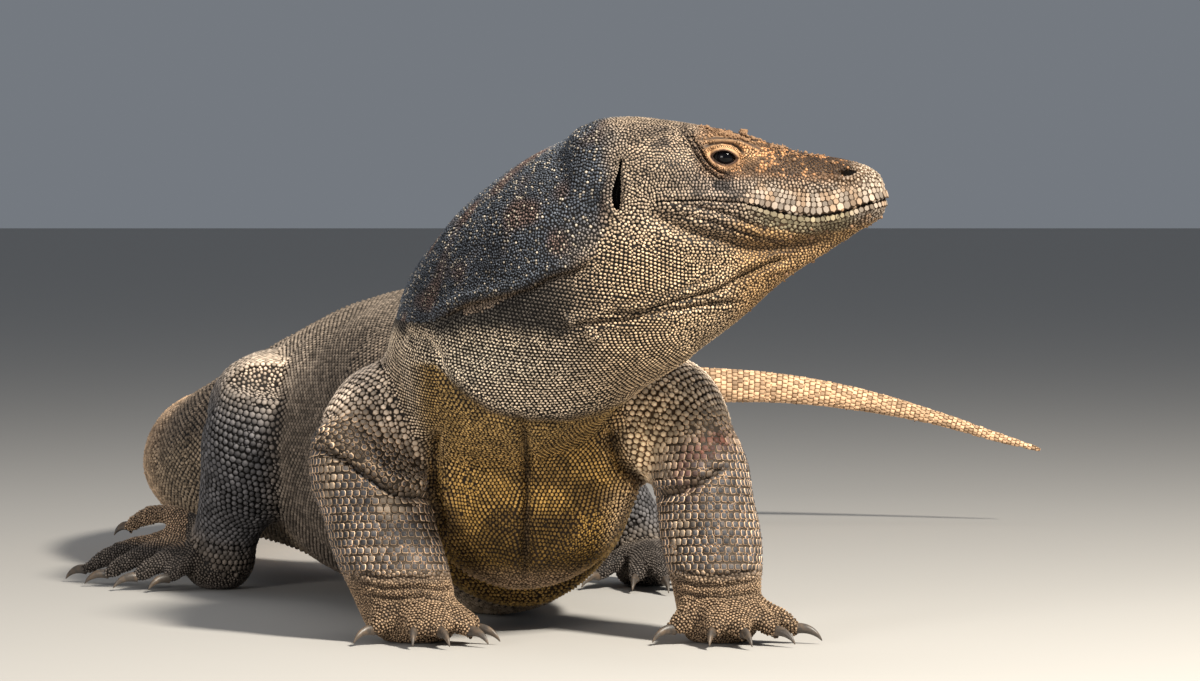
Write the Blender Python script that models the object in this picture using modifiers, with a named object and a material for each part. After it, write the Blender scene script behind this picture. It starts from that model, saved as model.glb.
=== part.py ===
"""Komodo dragon, a still life-size model: chest propped on the forelegs, belly down, head turned to its left.

Metres, +Z up. The origin is on the floor under the middle of the belly, the animal faces -Y and its
left side is at +X. Each stretch of the body is a loft of rounded sections through named stations.
The lofts are fused into one body, trimmed level with the floor and parted by thin saw cuts.
"""

import math

import bmesh
import bpy
import numpy as np
from mathutils import Matrix, Vector

# Sizes of the head, from which its parts are set out.
HEAD_LENGTH = 0.202  # snout to ear
SNOUT = Vector((0.337, -0.415, 0.339))  # tip of the snout, on the mouth line
EYE_RADIUS = 0.0095
EYE_BACK = 0.124  # eye behind the snout tip
EYE_HEIGHT = 0.034  # eye above the mouth line
EYE_OUT = 0.0335  # eyeball's centre from the middle of the head

# Making.
VOXEL = 0.004  # size of the cells in which the lofts are fused
SMOOTHING = 7
BODY_FACES = 3000  # triangles left in the whole body before it is parted
CORE_FACES = 700  # triangles in the saw that parts the limbs from it
SAW = 0.0005  # width of the cuts between named parts
STEP = 0.0001  # step along a path by which its direction is measured
CLEARANCE = 0.0004  # gap around a claw or an eye in its socket

# Stations: x, y, z, half width, rise above the centre, drop below it.
TRUNK = [
    (0.064, -0.322, 0.120, 0.030, 0.030, 0.030),  # front of the breast
    (0.064, -0.308, 0.122, 0.070, 0.075, 0.080),
    (0.062, -0.270, 0.138, 0.088, 0.100, 0.118),  # between the shoulders
    (0.053, -0.200, 0.148, 0.102, 0.118, 0.134),
    (0.034, -0.110, 0.144, 0.117, 0.126, 0.143),
    (0.000, 0.010, 0.136, 0.130, 0.131, 0.140),  # belly
    (-0.055, 0.135, 0.132, 0.120, 0.125, 0.131),  # loin
    (-0.125, 0.260, 0.120, 0.097, 0.102, 0.098),  # pelvis
    (-0.195, 0.370, 0.104, 0.079, 0.080, 0.073),  # root of the tail
    (-0.236, 0.470, 0.093, 0.069, 0.067, 0.062),
    (-0.250, 0.590, 0.095, 0.057, 0.061, 0.058),  # bend of the tail
    (-0.220, 0.720, 0.105, 0.046, 0.055, 0.050),
    (-0.130, 0.850, 0.120, 0.036, 0.044, 0.042),
    (0.000, 0.930, 0.135, 0.026, 0.033, 0.032),
    (0.120, 0.962, 0.1425, 0.0190, 0.0245, 0.0240),
    (0.223, 0.972, 0.1432, 0.0150, 0.0197, 0.0195),
    (0.305, 0.974, 0.1400, 0.0125, 0.0165, 0.0160),
    (0.387, 0.972, 0.1283, 0.0100, 0.0130, 0.0125),
    (0.470, 0.966, 0.1085, 0.0072, 0.0084, 0.0081),
    (0.530, 0.960, 0.0900, 0.0054, 0.0061, 0.0060),
    (0.574, 0.954, 0.0772, 0.0030, 0.0034, 0.0032),  # tip of the tail
]
NECK = [
    (0.046, -0.160, 0.150, 0.076, 0.100, 0.080),  # buried between the shoulders
    (0.046, -0.250, 0.196, 0.097, 0.116, 0.092),
    (0.061, -0.325, 0.236, 0.091, 0.112, 0.092),
    (0.092, -0.372, 0.272, 0.082, 0.104, 0.102),  # middle of the neck, with the slack throat
    (0.124, -0.398, 0.302, 0.077, 0.094, 0.106),
    (0.158, -0.410, 0.325, 0.068, 0.080, 0.100),
    (0.190, -0.414, 0.336, 0.050, 0.056, 0.080),  # buried in the back of the head
]
THROAT = [
    (0.306, -0.415, 0.321, 0.009, 0.009, 0.0115),  # under the chin
    (0.274, -0.415, 0.308, 0.020, 0.016, 0.0165),
    (0.247, -0.415, 0.296, 0.030, 0.020, 0.0215),
    (0.211, -0.413, 0.278, 0.042, 0.030, 0.0330),  # slack skin of the throat
    (0.180, -0.410, 0.267, 0.052, 0.040, 0.0440),
    (0.145, -0.404, 0.262, 0.060, 0.050, 0.0560),
]
ARM_RIGHT = [
    (0.015, -0.220, 0.185, 0.056, 0.056, 0.058),  # shoulder
    (-0.030, -0.255, 0.168, 0.052, 0.053, 0.056),
    (-0.062, -0.283, 0.157, 0.046, 0.046, 0.046),
    (-0.084, -0.294, 0.149, 0.029, 0.029, 0.029),  # point of the elbow
]
FOREARM_RIGHT = [
    (-0.078, -0.288, 0.166, 0.028, 0.034, 0.030),
    (-0.069, -0.294, 0.138, 0.042, 0.046, 0.042),
    (-0.056, -0.308, 0.107, 0.0435, 0.044, 0.042),
    (-0.046, -0.322, 0.072, 0.0425, 0.040, 0.038),
    (-0.032, -0.338, 0.040, 0.0400, 0.036, 0.036),  # wrist
    (-0.024, -0.346, 0.020, 0.0380, 0.031, 0.030),
]
ARM_LEFT = [
    (0.100, -0.222, 0.186, 0.056, 0.058, 0.058),  # shoulder
    (0.148, -0.254, 0.177, 0.053, 0.053, 0.054),
    (0.182, -0.280, 0.160, 0.047, 0.046, 0.052),
    (0.204, -0.292, 0.146, 0.030, 0.030, 0.034),  # point of the elbow
]
FOREARM_LEFT = [
    (0.195, -0.288, 0.166, 0.027, 0.034, 0.030),
    (0.197, -0.296, 0.138, 0.038, 0.044, 0.042),
    (0.202, -0.310, 0.105, 0.0390, 0.043, 0.040),
    (0.207, -0.326, 0.068, 0.0390, 0.039, 0.037),
    (0.210, -0.340, 0.042, 0.0355, 0.034, 0.035),  # wrist
    (0.212, -0.348, 0.022, 0.0335, 0.030, 0.030),
]
THIGH_RIGHT = [
    (-0.105, 0.290, 0.130, 0.060, 0.064, 0.060),  # hip
    (-0.158, 0.220, 0.140, 0.055, 0.066, 0.062),
    (-0.170, 0.140, 0.152, 0.050, 0.056, 0.056),
    (-0.166, 0.085, 0.162, 0.043, 0.040, 0.044),  # knee
]
SHANK_RIGHT = [
    (-0.164, 0.090, 0.176, 0.038, 0.036, 0.030),
    (-0.170, 0.098, 0.142, 0.049, 0.045, 0.042),  # calf
    (-0.180, 0.116, 0.106, 0.046, 0.043, 0.040),
    (-0.196, 0.138, 0.074, 0.034, 0.036, 0.036),
    (-0.204, 0.152, 0.048, 0.029, 0.032, 0.032),  # ankle
    (-0.208, 0.158, 0.020, 0.028, 0.030, 0.026),
]
THIGH_LEFT = [
    (-0.110, 0.280, 0.130, 0.060, 0.064, 0.060),  # hip
    (-0.040, 0.250, 0.140, 0.055, 0.064, 0.062),
    (0.030, 0.208, 0.148, 0.050, 0.056, 0.054),
    (0.078, 0.182, 0.150, 0.036, 0.040, 0.040),  # knee
]
SHANK_LEFT = [
    (0.070, 0.180, 0.166, 0.034, 0.036, 0.030),
    (0.088, 0.184, 0.134, 0.042, 0.042, 0.042),  # calf
    (0.116, 0.196, 0.094, 0.037, 0.038, 0.038),
    (0.148, 0.212, 0.052, 0.029, 0.032, 0.032),  # ankle
    (0.160, 0.206, 0.022, 0.028, 0.028, 0.026),
]

# Head sections, behind the snout tip as a share of HEAD_LENGTH: half width, crown above and throat
# below the mouth line.
HEAD = [
    (-0.006, 0.006, 0.010, 0.008),
    (0.010, 0.0155, 0.021, 0.013),
    (0.060, 0.0235, 0.0290, 0.0185),
    (0.170, 0.0305, 0.0350, 0.0285),  # nostrils
    (0.320, 0.0350, 0.0390, 0.0420),
    (0.460, 0.0400, 0.0475, 0.0560),
    (0.600, 0.0465, 0.0560, 0.0720),  # eyes
    (0.760, 0.0545, 0.0620, 0.0900),
    (0.920, 0.0610, 0.0660, 0.1050),  # jaw muscles
    (1.060, 0.0600, 0.0660, 0.1080),
    (1.180, 0.0480, 0.0560, 0.0850),
]

# Feet: the wrist or ankle the toes fan from, the palm's radius, then each toe from the inner one out:
# the place of its tip (x, y, z) and how high it arches over the middle.
FEET = {
    "right_hand": (
        (-0.022, -0.345, 0.024),
        0.034,
        (
            ((0.028, -0.368, 0.009), 0.008),
            ((0.023, -0.389, 0.009), 0.008),
            ((0.000, -0.403, 0.009), 0.008),
            ((-0.022, -0.399, 0.009), 0.008),
            ((-0.056, -0.378, 0.009), 0.008),
        ),
    ),
    "left_hand": (
        (0.212, -0.348, 0.024),
        0.032,
        (
            ((0.174, -0.374, 0.009), 0.008),
            ((0.205, -0.402, 0.009), 0.008),
            ((0.230, -0.404, 0.009), 0.008),
            ((0.256, -0.388, 0.009), 0.008),
            ((0.274, -0.364, 0.009), 0.008),
        ),
    ),
    "right_foot": (
        (-0.212, 0.154, 0.028),
        0.031,
        (
            ((-0.256, 0.118, 0.009), 0.008),
            ((-0.285, 0.132, 0.009), 0.010),
            ((-0.314, 0.172, 0.009), 0.014),
            ((-0.338, 0.222, 0.009), 0.018),
            ((-0.300, 0.240, 0.046), 0.024),
        ),
    ),
    "left_foot": (
        (0.160, 0.190, 0.026),
        0.030,
        (
            ((0.116, 0.146, 0.009), 0.008),
            ((0.150, 0.114, 0.009), 0.010),
            ((0.176, 0.092, 0.009), 0.012),
            ((0.212, 0.094, 0.009), 0.012),
            ((0.236, 0.166, 0.009), 0.008),
        ),
    ),
}
TOE_RADIUS = 0.0105
CLAW_LENGTH = 0.024
CLAW_RADIUS = 0.0046
CLAW_BEND = math.radians(34)


LIMB_OFF = 0.002  # how far outside the trunk and neck the saw runs that takes the limbs off

# Mouth line and the cut behind the jaw: back from the snout tip, above the mouth line's own level.
MOUTH = [
    (-0.030, 0.006),
    (0.000, 0.003),
    (0.014, 0.000),
    (0.030, -0.005),
    (0.046, -0.0088),
    (0.061, -0.0098),
    (0.080, -0.0072),
    (0.100, -0.002),
    (0.120, 0.001),
    (0.150, 0.002),
    (0.172, 0.0014),
    (0.181, -0.003),
    (0.180, -0.030),
    (0.150, -0.080),
    (0.085, -0.210),
]

# Saw cuts across the trunk: the part in front of each, a point on the cut, and its way.
TRUNK_CUTS = [
    ("chest", (0.030, -0.085, 0.14), (-0.22, 0.97, 0)),
    ("belly", (-0.062, 0.165, 0.13), (-0.48, 0.88, 0)),
]
TAIL_STARTS = (9, 11, 13, 15)  # stations of TRUNK at which the tail's lengths start
TAIL_NAMES = ("tail_root", "tail_bend", "tail_middle", "tail_tip")
NECK_BASE = ((0.060, -0.300, 0.205), (0.0, -0.525, 0.85))
NECK_CUT = ((0.150, -0.410, 0.300), (0.85, -0.08, 0.52))

# Legs: a place in the limb, the names of its parts, and the cuts at its middle joint and its foot.
LEGS = {
    "front_right": (
        (-0.084, -0.294, 0.149),
        ("right_upper_arm", "right_forearm", "right_hand"),
        ((-0.068, -0.290, 0.142), (-0.25, -0.25, -0.93)),
        ((-0.022, -0.340, 0.042), (0.15, -0.15, -0.97)),
    ),
    "front_left": (
        (0.204, -0.292, 0.146),
        ("left_upper_arm", "left_forearm", "left_hand"),
        ((0.190, -0.290, 0.142), (0.25, -0.25, -0.93)),
        ((0.210, -0.342, 0.042), (0.0, -0.15, -0.98)),
    ),
    "hind_right": (
        (-0.168, 0.085, 0.162),
        ("right_thigh", "right_shank", "right_foot"),
        ((-0.168, 0.100, 0.150), (0.0, -0.35, -0.94)),
        ((-0.200, 0.146, 0.050), (-0.50, 0.20, -0.84)),
    ),
    "hind_left": (
        (0.078, 0.182, 0.150),
        ("left_thigh", "left_shank", "left_foot"),
        ((0.070, 0.186, 0.145), (0.60, -0.20, -0.78)),
        ((0.148, 0.212, 0.050), (0.25, 0.0, -0.97)),
    ),
}


# Skin finishes: colour, and the parts that wear it.
SKINS = {
    "head_skin": ((0.36, 0.28, 0.21), ("head", "lower_jaw", "neck")),
    "body_skin": ((0.26, 0.20, 0.14), ("chest", "belly", "hips")),
    "tail_skin": ((0.34, 0.26, 0.18), TAIL_NAMES),
    "leg_skin": (
        (0.20, 0.17, 0.14),
        tuple(
            f"{side}_{piece}" for side in ("left", "right") for piece in ("upper_arm", "forearm", "thigh", "shank")
        ),
    ),
    "foot_skin": ((0.30, 0.21, 0.14), tuple(FEET)),
}


def clear_scene():
    for item in list(bpy.data.objects):
        bpy.data.objects.remove(item)


def collection(name):
    made = bpy.data.collections.new(name)
    bpy.context.scene.collection.children.link(made)
    return made


def finish(name, colour, roughness):
    made = bpy.data.materials.new(name)
    made.use_nodes = True
    shader = made.node_tree.nodes["Principled BSDF"]
    shader.inputs["Base Color"].default_value = (*colour, 1)
    shader.inputs["Roughness"].default_value = roughness
    shader.inputs["Metallic"].default_value = 0
    return made


def distances(stations):
    """How far along the chords each station is."""
    places = np.array(stations)[:, :3]
    return np.concatenate([[0], np.cumsum(np.linalg.norm(np.diff(places, axis=0), axis=1))])


def rows_at(stations, at):
    """Rows at given distances on the smooth curve through the stations: cubic pieces on chord length."""
    rows, along = np.array(stations, float), distances(stations)
    slopes = np.gradient(rows, along, axis=0)
    i = np.clip(np.searchsorted(along, at, side="right") - 1, 0, len(along) - 2)
    span = (along[i + 1] - along[i])[:, None]
    t = (at - along[i])[:, None] / span
    return (
        (2 * t**3 - 3 * t**2 + 1) * rows[i]
        + (t**3 - 2 * t**2 + t) * span * slopes[i]
        + (3 * t**2 - 2 * t**3) * rows[i + 1]
        + (t**3 - t**2) * span * slopes[i + 1]
    )


def unit(vectors):
    return vectors / np.linalg.norm(vectors, axis=-1, keepdims=True)


def tube_rings(stations, spacing, around, upward=(0, 0, 1), first=0.0, last=None):
    """Rings of points: each is an egg of the row's half width, rise and drop, square to the path."""
    last = distances(stations)[-1] if last is None else last
    at = np.linspace(first, last, round((last - first) / spacing) + 1)
    rows = rows_at(stations, at)
    ahead = unit(rows_at(stations, at + STEP)[:, :3] - rows_at(stations, at - STEP)[:, :3])
    up = np.array(upward, float)
    up = unit(up - (ahead @ up)[:, None] * ahead)
    across = np.cross(ahead, up)
    turn = np.linspace(0, 2 * math.pi, around, endpoint=False)
    height = np.where(np.sin(turn) > 0, rows[:, 4:5], rows[:, 5:6]) * np.sin(turn)
    width = rows[:, 3:4] * np.cos(turn)
    return rows[:, None, :3] + width[..., None] * across[:, None] + height[..., None] * up[:, None]


def head_rings(around):
    """Rings of the head: a boxy upper half with the brows as its corners, and a narrowing throat."""
    rows = np.array(HEAD, float)
    turn = np.linspace(0, 2 * math.pi, around, endpoint=False)
    side, high = np.cos(turn), np.sin(turn)
    boxy = np.where(high > 0, 2.5, 1.9)
    wide = np.sign(side) * np.abs(side) ** (2 / boxy) * rows[:, 1:2]
    tall = np.sign(high) * np.abs(high) ** (2 / boxy) * np.where(high > 0, rows[:, 2:3], rows[:, 3:4])
    back = np.broadcast_to(rows[:, :1] * HEAD_LENGTH, wide.shape)
    return np.stack([SNOUT.x - back, SNOUT.y - wide, SNOUT.z + tall], axis=-1)


def loft(name, rings, home):
    """Closed solid through rings of the same number of points, with a fan over each end."""
    count, around = rings.shape[:2]
    points = [*rings.reshape(-1, 3).tolist(), *rings[[0, -1]].mean(axis=1).tolist()]
    faces = []
    for i in range(count - 1):
        for j in range(around):
            k = (j + 1) % around
            faces.append((i * around + j, i * around + k, (i + 1) * around + k, (i + 1) * around + j))
    for ring, middle in ((0, count * around), (count - 1, count * around + 1)):
        for j in range(around):
            faces.append((ring * around + j, ring * around + (j + 1) % around, middle))
    mesh = bpy.data.meshes.new(name)
    mesh.from_pydata(points, [], faces)
    shape = bmesh.new()
    shape.from_mesh(mesh)
    bmesh.ops.recalc_face_normals(shape, faces=shape.faces)
    shape.to_mesh(mesh)
    shape.free()
    made = bpy.data.objects.new(name, mesh)
    home.objects.link(made)
    return made


def ball(name, centre, radii, home, around=16):
    """Ellipsoid: a brow, an eye or a hollow."""
    mesh = bpy.data.meshes.new(name)
    shape = bmesh.new()
    bmesh.ops.create_uvsphere(shape, u_segments=around, v_segments=around // 2 + 1, radius=1)
    shape.transform(Matrix.Translation(centre) @ Matrix.Diagonal((*radii, 1)))
    shape.to_mesh(mesh)
    shape.free()
    made = bpy.data.objects.new(name, mesh)
    home.objects.link(made)
    return made


def on_head(back, side, high):
    """Place in the head: back from the snout tip, towards the animal's left, above the mouth line."""
    return SNOUT + Vector((-back, side, high))


def toe_path(root, tip, arch):
    """A toe leaves the palm, arches over its knuckle and comes down to its tip."""
    root, tip = Vector(root), Vector(tip)
    rows = []
    for share, thick in ((0.0, 1.45), (0.3, 1.25), (0.6, 1.05), (0.85, 0.95), (1.0, 0.7)):
        at = root.lerp(tip, share) + Vector((0, 0, 4 * arch * share * (1 - share)))
        radius = TOE_RADIUS * thick
        rows.append((*at, radius, radius, radius))
    return rows


def claw_path(root, tip, grow=0.0):
    """A claw starts in the toe's end and curves down to its point."""
    ahead = Vector((tip[0] - root[0], tip[1] - root[1], 0)).normalized()
    start = Vector(tip) - ahead * 0.003
    rows = []
    for share in (-grow / CLAW_LENGTH, 0.25, 0.5, 0.75, 0.95, 1.0 + grow / CLAW_LENGTH):
        bend = CLAW_BEND * share
        at = start + ahead * (CLAW_LENGTH * math.sin(bend) / CLAW_BEND)
        at.z -= CLAW_LENGTH * (1 - math.cos(bend)) / CLAW_BEND
        radius = CLAW_RADIUS * (1 - max(0.0, share) ** 1.6 * 0.9) + grow
        rows.append((*at, radius * 0.8, radius, radius))
    return rows


def core_lofts(home):
    """Trunk, tail, neck and head, overlapping."""
    return [
        loft("trunk_loft", tube_rings(TRUNK, 0.02, 28, last=distances(TRUNK)[TAIL_STARTS[0] + 1]), home),
        loft("neck_loft", tube_rings(NECK, 0.015, 28), home),
        loft("head_loft", head_rings(28), home),
        loft("throat_loft", tube_rings(THROAT, 0.015, 24), home),
        *[ball("brow", on_head(EYE_BACK, side * 0.030, 0.043), (0.024, 0.011, 0.0095), home) for side in (-1, 1)],
    ]


def limb_lofts(home):
    """The legs and their feet."""
    forward = (0, -1, 0)
    made = [
        loft(name + "_loft", tube_rings(stations, 0.012, 20, upward), home)
        for name, stations, upward in (
            ("arm_right", ARM_RIGHT, forward),
            ("arm_left", ARM_LEFT, forward),
            ("forearm_right", FOREARM_RIGHT, forward),
            ("forearm_left", FOREARM_LEFT, forward),
            ("thigh_right", THIGH_RIGHT, (0, 0, 1)),
            ("thigh_left", THIGH_LEFT, (0, 0, 1)),
            ("shank_right", SHANK_RIGHT, forward),
            ("shank_left", SHANK_LEFT, forward),
        )
    ]
    for foot, (root, palm, toes) in FEET.items():
        made.append(ball(foot + "_palm", Vector(root) - Vector((0, 0, 0.010)), (palm, palm, 0.022), home))
        for tip, arch in toes:
            made.append(loft(foot + "_toe", tube_rings(toe_path(root, tip, arch), 0.008, 12), home))
    return made


def joined(objects, name, home):
    """One object holding the given ones' meshes as they stand."""
    shape = bmesh.new()
    for item in objects:
        shape.from_mesh(item.data)
    mesh = bpy.data.meshes.new(name)
    shape.to_mesh(mesh)
    shape.free()
    made = bpy.data.objects.new(name, mesh)
    home.objects.link(made)
    return made


def evaluated(item):
    """The object's mesh as its modifiers leave it."""
    bpy.context.view_layer.update()
    graph = bpy.context.evaluated_depsgraph_get()
    return bpy.data.meshes.new_from_object(item.evaluated_get(graph))


def fused(blank, faces):
    """The overlapping lofts as one closed surface, filleted where they meet, in few faces."""
    fuse = blank.modifiers.new("fuse", "REMESH")
    fuse.mode = "VOXEL"
    fuse.voxel_size = VOXEL
    soften = blank.modifiers.new("soften", "SMOOTH")
    soften.factor = 0.5
    soften.iterations = SMOOTHING
    fine = evaluated(blank)
    fine.calc_loop_triangles()
    thin = blank.modifiers.new("thin", "DECIMATE")
    thin.ratio = faces / len(fine.loop_triangles)
    thin.use_collapse_triangulate = True
    return evaluated(blank)


def sliced(mesh, point, normal, keep_ahead):
    """The part of a mesh ahead of or behind a plane, closed again over the cut."""
    shape = bmesh.new()
    shape.from_mesh(mesh)
    bmesh.ops.bisect_plane(
        shape,
        geom=[*shape.verts, *shape.edges, *shape.faces],
        dist=1e-7,
        plane_co=point,
        plane_no=normal,
        clear_inner=keep_ahead,
        clear_outer=not keep_ahead,
    )
    rim = [edge for edge in shape.edges if edge.is_boundary]
    bmesh.ops.holes_fill(shape, edges=rim, sides=0)
    bmesh.ops.triangulate(shape, faces=[face for face in shape.faces if len(face.verts) > 3])
    made = bpy.data.meshes.new(mesh.name)
    shape.to_mesh(made)
    shape.free()
    return made


def halved(mesh, point, normal):
    """The two sides of a saw cut: (behind the plane, ahead of it)."""
    point, normal = Vector(point), Vector(normal).normalized()
    behind = sliced(mesh, point - normal * SAW / 2, normal, False)
    return behind, sliced(mesh, point + normal * SAW / 2, normal, True)


def puffed(name, mesh, distance, home):
    """The mesh with every corner moved out along its normal."""
    made = bpy.data.objects.new(name, mesh.copy())
    for vertex, normal in zip(made.data.vertices, [v.vector.copy() for v in made.data.vertex_normals]):
        vertex.co += normal * distance
    home.objects.link(made)
    return made


def cut(mesh, cutters, home, operation="DIFFERENCE"):
    """The mesh after an exact Boolean with each cutter."""
    item = bpy.data.objects.new("carving", mesh)
    home.objects.link(item)
    for cutter in cutters:
        step = item.modifiers.new("cut", "BOOLEAN")
        step.operation = operation
        step.object = cutter
    made = evaluated(item)
    bpy.data.objects.remove(item)
    return made


def islands(mesh, least_faces=40):
    """The separate bodies of a mesh, largest first, without crumbs."""
    shape = bmesh.new()
    shape.from_mesh(mesh)
    shape.faces.ensure_lookup_table()
    seen, found = set(), []
    for first in shape.faces:
        if first.index in seen:
            continue
        group, edge_of_group = {first.index}, [first]
        while edge_of_group:
            face = edge_of_group.pop()
            for edge in face.edges:
                for other in edge.link_faces:
                    if other.index not in group:
                        group.add(other.index)
                        edge_of_group.append(other)
        seen |= group
        found.append(group)
    made = []
    for group in sorted(found, key=len, reverse=True):
        if len(group) < least_faces:
            continue
        piece = shape.copy()
        piece.faces.ensure_lookup_table()
        bmesh.ops.delete(piece, geom=[f for f in piece.faces if f.index not in group], context="FACES")
        body = bpy.data.meshes.new("island")
        piece.to_mesh(body)
        piece.free()
        made.append(body)
    shape.free()
    return made


def nearest(bodies, place):
    """The body with a corner nearest to a place."""
    place = Vector(place)
    return min(bodies, key=lambda body: min((v.co - place).length for v in body.vertices))


def mouth_blade(home):
    """Thin plate along the mouth line and down behind the jaw's corner to the throat."""
    line = np.array(MOUTH)
    ahead = unit(np.gradient(line, axis=0))
    normal = np.stack([-ahead[:, 1], ahead[:, 0]], axis=1) * SAW / 2
    rings = []
    for (back, high), (side_back, side_high) in zip(line, normal):
        rings.append([
            on_head(back + sign * side_back, wide, high + sign * side_high)
            for sign, wide in ((1, 0.09), (1, -0.09), (-1, -0.09), (-1, 0.09))
        ])
    return loft("mouth_blade", np.array(rings), home)


def add_node(name, mesh, material, home):
    mesh.materials.clear()
    mesh.materials.append(material)
    mesh.name = name
    home.objects.link(bpy.data.objects.new(name, mesh))
    mesh.shade_smooth()
    mesh.set_sharp_from_angle(angle=math.radians(50))


def add_claws(foot, flesh, horn, parts, cutters):
    """Five claws as nodes, and the foot with a socket for each."""
    root, _, toes = FEET[foot]
    sockets = []
    for index, (tip, _) in enumerate(toes):
        name = f"{foot}_claw_{index + 1}"
        claw = loft(name, tube_rings(claw_path(root, tip), 0.006, 6), parts)
        claw.data.materials.append(horn)
        claw.data.shade_smooth()
        sockets.append(loft(name + "_socket", tube_rings(claw_path(root, tip, CLEARANCE), 0.006, 6), cutters))
    return cut(flesh, sockets, cutters)


def leg_parts(leg, names, first, second):
    """Upper leg, lower leg and foot of one limb, between a cut at its middle joint and one above its foot."""
    upper, rest = halved(leg, *first)
    lower, foot = halved(rest, *second)
    return dict(zip(names, (upper, lower, foot)))


def build():
    clear_scene()
    parts = collection("komodo_dragon")
    cutters = collection("cutters")
    horn = finish("claw", (0.22, 0.19, 0.17), 0.45)
    wet = finish("eye", (0.03, 0.02, 0.015), 0.1)

    core = core_lofts(cutters)
    core_blank = joined(core, "core_blank", cutters)
    blank = joined(core + limb_lofts(cutters), "blank", cutters)
    middle = fused(core_blank, CORE_FACES)
    whole = sliced(fused(blank, BODY_FACES), Vector((0, 0, 0)), Vector((0, 0, 1)), True)
    body = cut(whole, [puffed("inside_saw", middle, LIMB_OFF, cutters)], cutters, "INTERSECT")
    limbs = islands(cut(whole, [puffed("outside_saw", middle, LIMB_OFF + SAW, cutters)], cutters))

    flesh = {}
    rest, neck = halved(body, *NECK_BASE)
    for name, point, normal in TRUNK_CUTS:
        flesh[name], rest = halved(rest, point, normal)
    along = distances(TRUNK)
    starts = along[list(TAIL_STARTS)]
    at, beyond = rows_at(TRUNK, starts[0] + np.array([0, STEP]))[:, :3]
    flesh["hips"], _ = halved(rest, at, beyond - at)
    for name, first, last in zip(TAIL_NAMES, starts, [*starts[1:], along[-1] + SAW]):
        rings = tube_rings(TRUNK, 0.035, 14, first=first + SAW / 2, last=last - SAW / 2)
        flesh[name] = loft(name + "_loft", rings, cutters).data.copy()
    flesh["neck"], head = halved(neck, *NECK_CUT)
    jaw_pieces = islands(cut(head, [mouth_blade(cutters)], cutters))
    flesh["lower_jaw"] = nearest(jaw_pieces, on_head(0.02, 0, -0.02))
    flesh["head"] = nearest(jaw_pieces, on_head(0.1, 0, 0.05))
    for place, names, first, second in LEGS.values():
        flesh |= leg_parts(nearest(limbs, place), names, first, second)

    eyes, hollows = [], []
    for word, side in (("right", -1), ("left", 1)):
        centre = on_head(EYE_BACK, side * EYE_OUT, EYE_HEIGHT)
        eyes.append(ball(f"{word}_eye", centre, (EYE_RADIUS,) * 3, parts, 12))
        eyes[-1].data.materials.append(wet)
        eyes[-1].data.shade_smooth()
        hollows.append(ball(f"{word}_socket", centre, (EYE_RADIUS + CLEARANCE,) * 3, cutters, 12))
        hollows.append(ball(f"{word}_ear", on_head(HEAD_LENGTH, side * 0.060, 0.016), (0.0035, 0.008, 0.019), cutters, 8))
        hollows.append(ball(f"{word}_nostril", on_head(0.030, side * 0.0255, 0.023), (0.005, 0.005, 0.0028), cutters, 6))
    flesh["head"] = cut(flesh["head"], hollows, cutters)
    for foot in FEET:
        flesh[foot] = add_claws(foot, flesh[foot], horn, parts, cutters)
    for slot, (colour, names) in SKINS.items():
        skin = finish(slot, colour, 0.75)
        for name in names:
            add_node(name, flesh[name], skin, parts)
    for helper in cutters.objects:
        helper.hide_render = True
        helper.display_type = "WIRE"


build()
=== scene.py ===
"""Komodo dragon, life size: one skin over all the flesh, a coat of solid scales on it, eyes and claws.

Metres, +Z up. The animal faces -Y, its left side is at +X and its head is turned to +X. The stations below
are those of the solid model: x, y, z, half width, rise above the centre and drop below it.
"""

import math
from collections import namedtuple
from itertools import combinations, product

import bmesh
import bpy
import numpy as np
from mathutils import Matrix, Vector
from mathutils.bvhtree import BVHTree
from mathutils.kdtree import KDTree


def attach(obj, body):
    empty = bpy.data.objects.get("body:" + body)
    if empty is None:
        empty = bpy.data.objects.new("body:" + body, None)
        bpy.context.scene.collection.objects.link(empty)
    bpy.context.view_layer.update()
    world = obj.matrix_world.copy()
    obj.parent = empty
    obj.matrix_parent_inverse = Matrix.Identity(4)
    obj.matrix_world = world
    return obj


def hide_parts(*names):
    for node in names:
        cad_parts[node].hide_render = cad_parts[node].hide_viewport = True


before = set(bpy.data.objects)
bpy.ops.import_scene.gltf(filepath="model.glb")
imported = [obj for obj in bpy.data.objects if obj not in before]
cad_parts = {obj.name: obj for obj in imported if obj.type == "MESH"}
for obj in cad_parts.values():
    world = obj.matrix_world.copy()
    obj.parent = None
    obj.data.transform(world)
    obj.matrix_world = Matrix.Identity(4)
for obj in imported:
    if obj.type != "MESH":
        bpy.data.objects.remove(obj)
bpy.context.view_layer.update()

# ---------------------------------------------------------------- sizes

HEAD_LENGTH = 0.202  # snout to ear
SNOUT = np.array([0.337, -0.415, 0.339])  # tip of the snout, on the mouth line
EYE_RADIUS = 0.0095
EYE_BACK = 0.124
EYE_HEIGHT = 0.034
EYE_OUT = 0.0335
EYE_OPENING = (0.0086, 0.0050)  # half its length and half its height
NOSTRIL_OPENING = (0.0064, 0.0026)
EYE_POWER = 1.7  # of the almond of the lids
COAT = 0.0016  # depth of the scales: how far the skin lies inside the solids
CELL = 0.0052  # cells in which the lofts are fused into one skin
STEP = 0.0001  # step along a path by which its direction is measured
BLOCK = 20000  # points measured at a time against a path
FINEST_TAIL = 0.0052  # least radius of a loft that the cells can hold
LEAST_TAIL = 0.0012  # least radius of the tail as it is in the end
FINE_REACH = 0.009  # within this of a fold the skin is made finer
SKIN_TRIANGLES = 192000  # left of the fine skin in the end
CRUMBS, CLUMPED = 900, 40  # lumps of dried mud, and those of them that lie in one clump
HEAD_POWERS = (2.5, 1.9)  # of the head's superellipses, above and below the mouth line
BROW_OUT, BROW_HEIGHT = 0.030, 0.043
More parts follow.
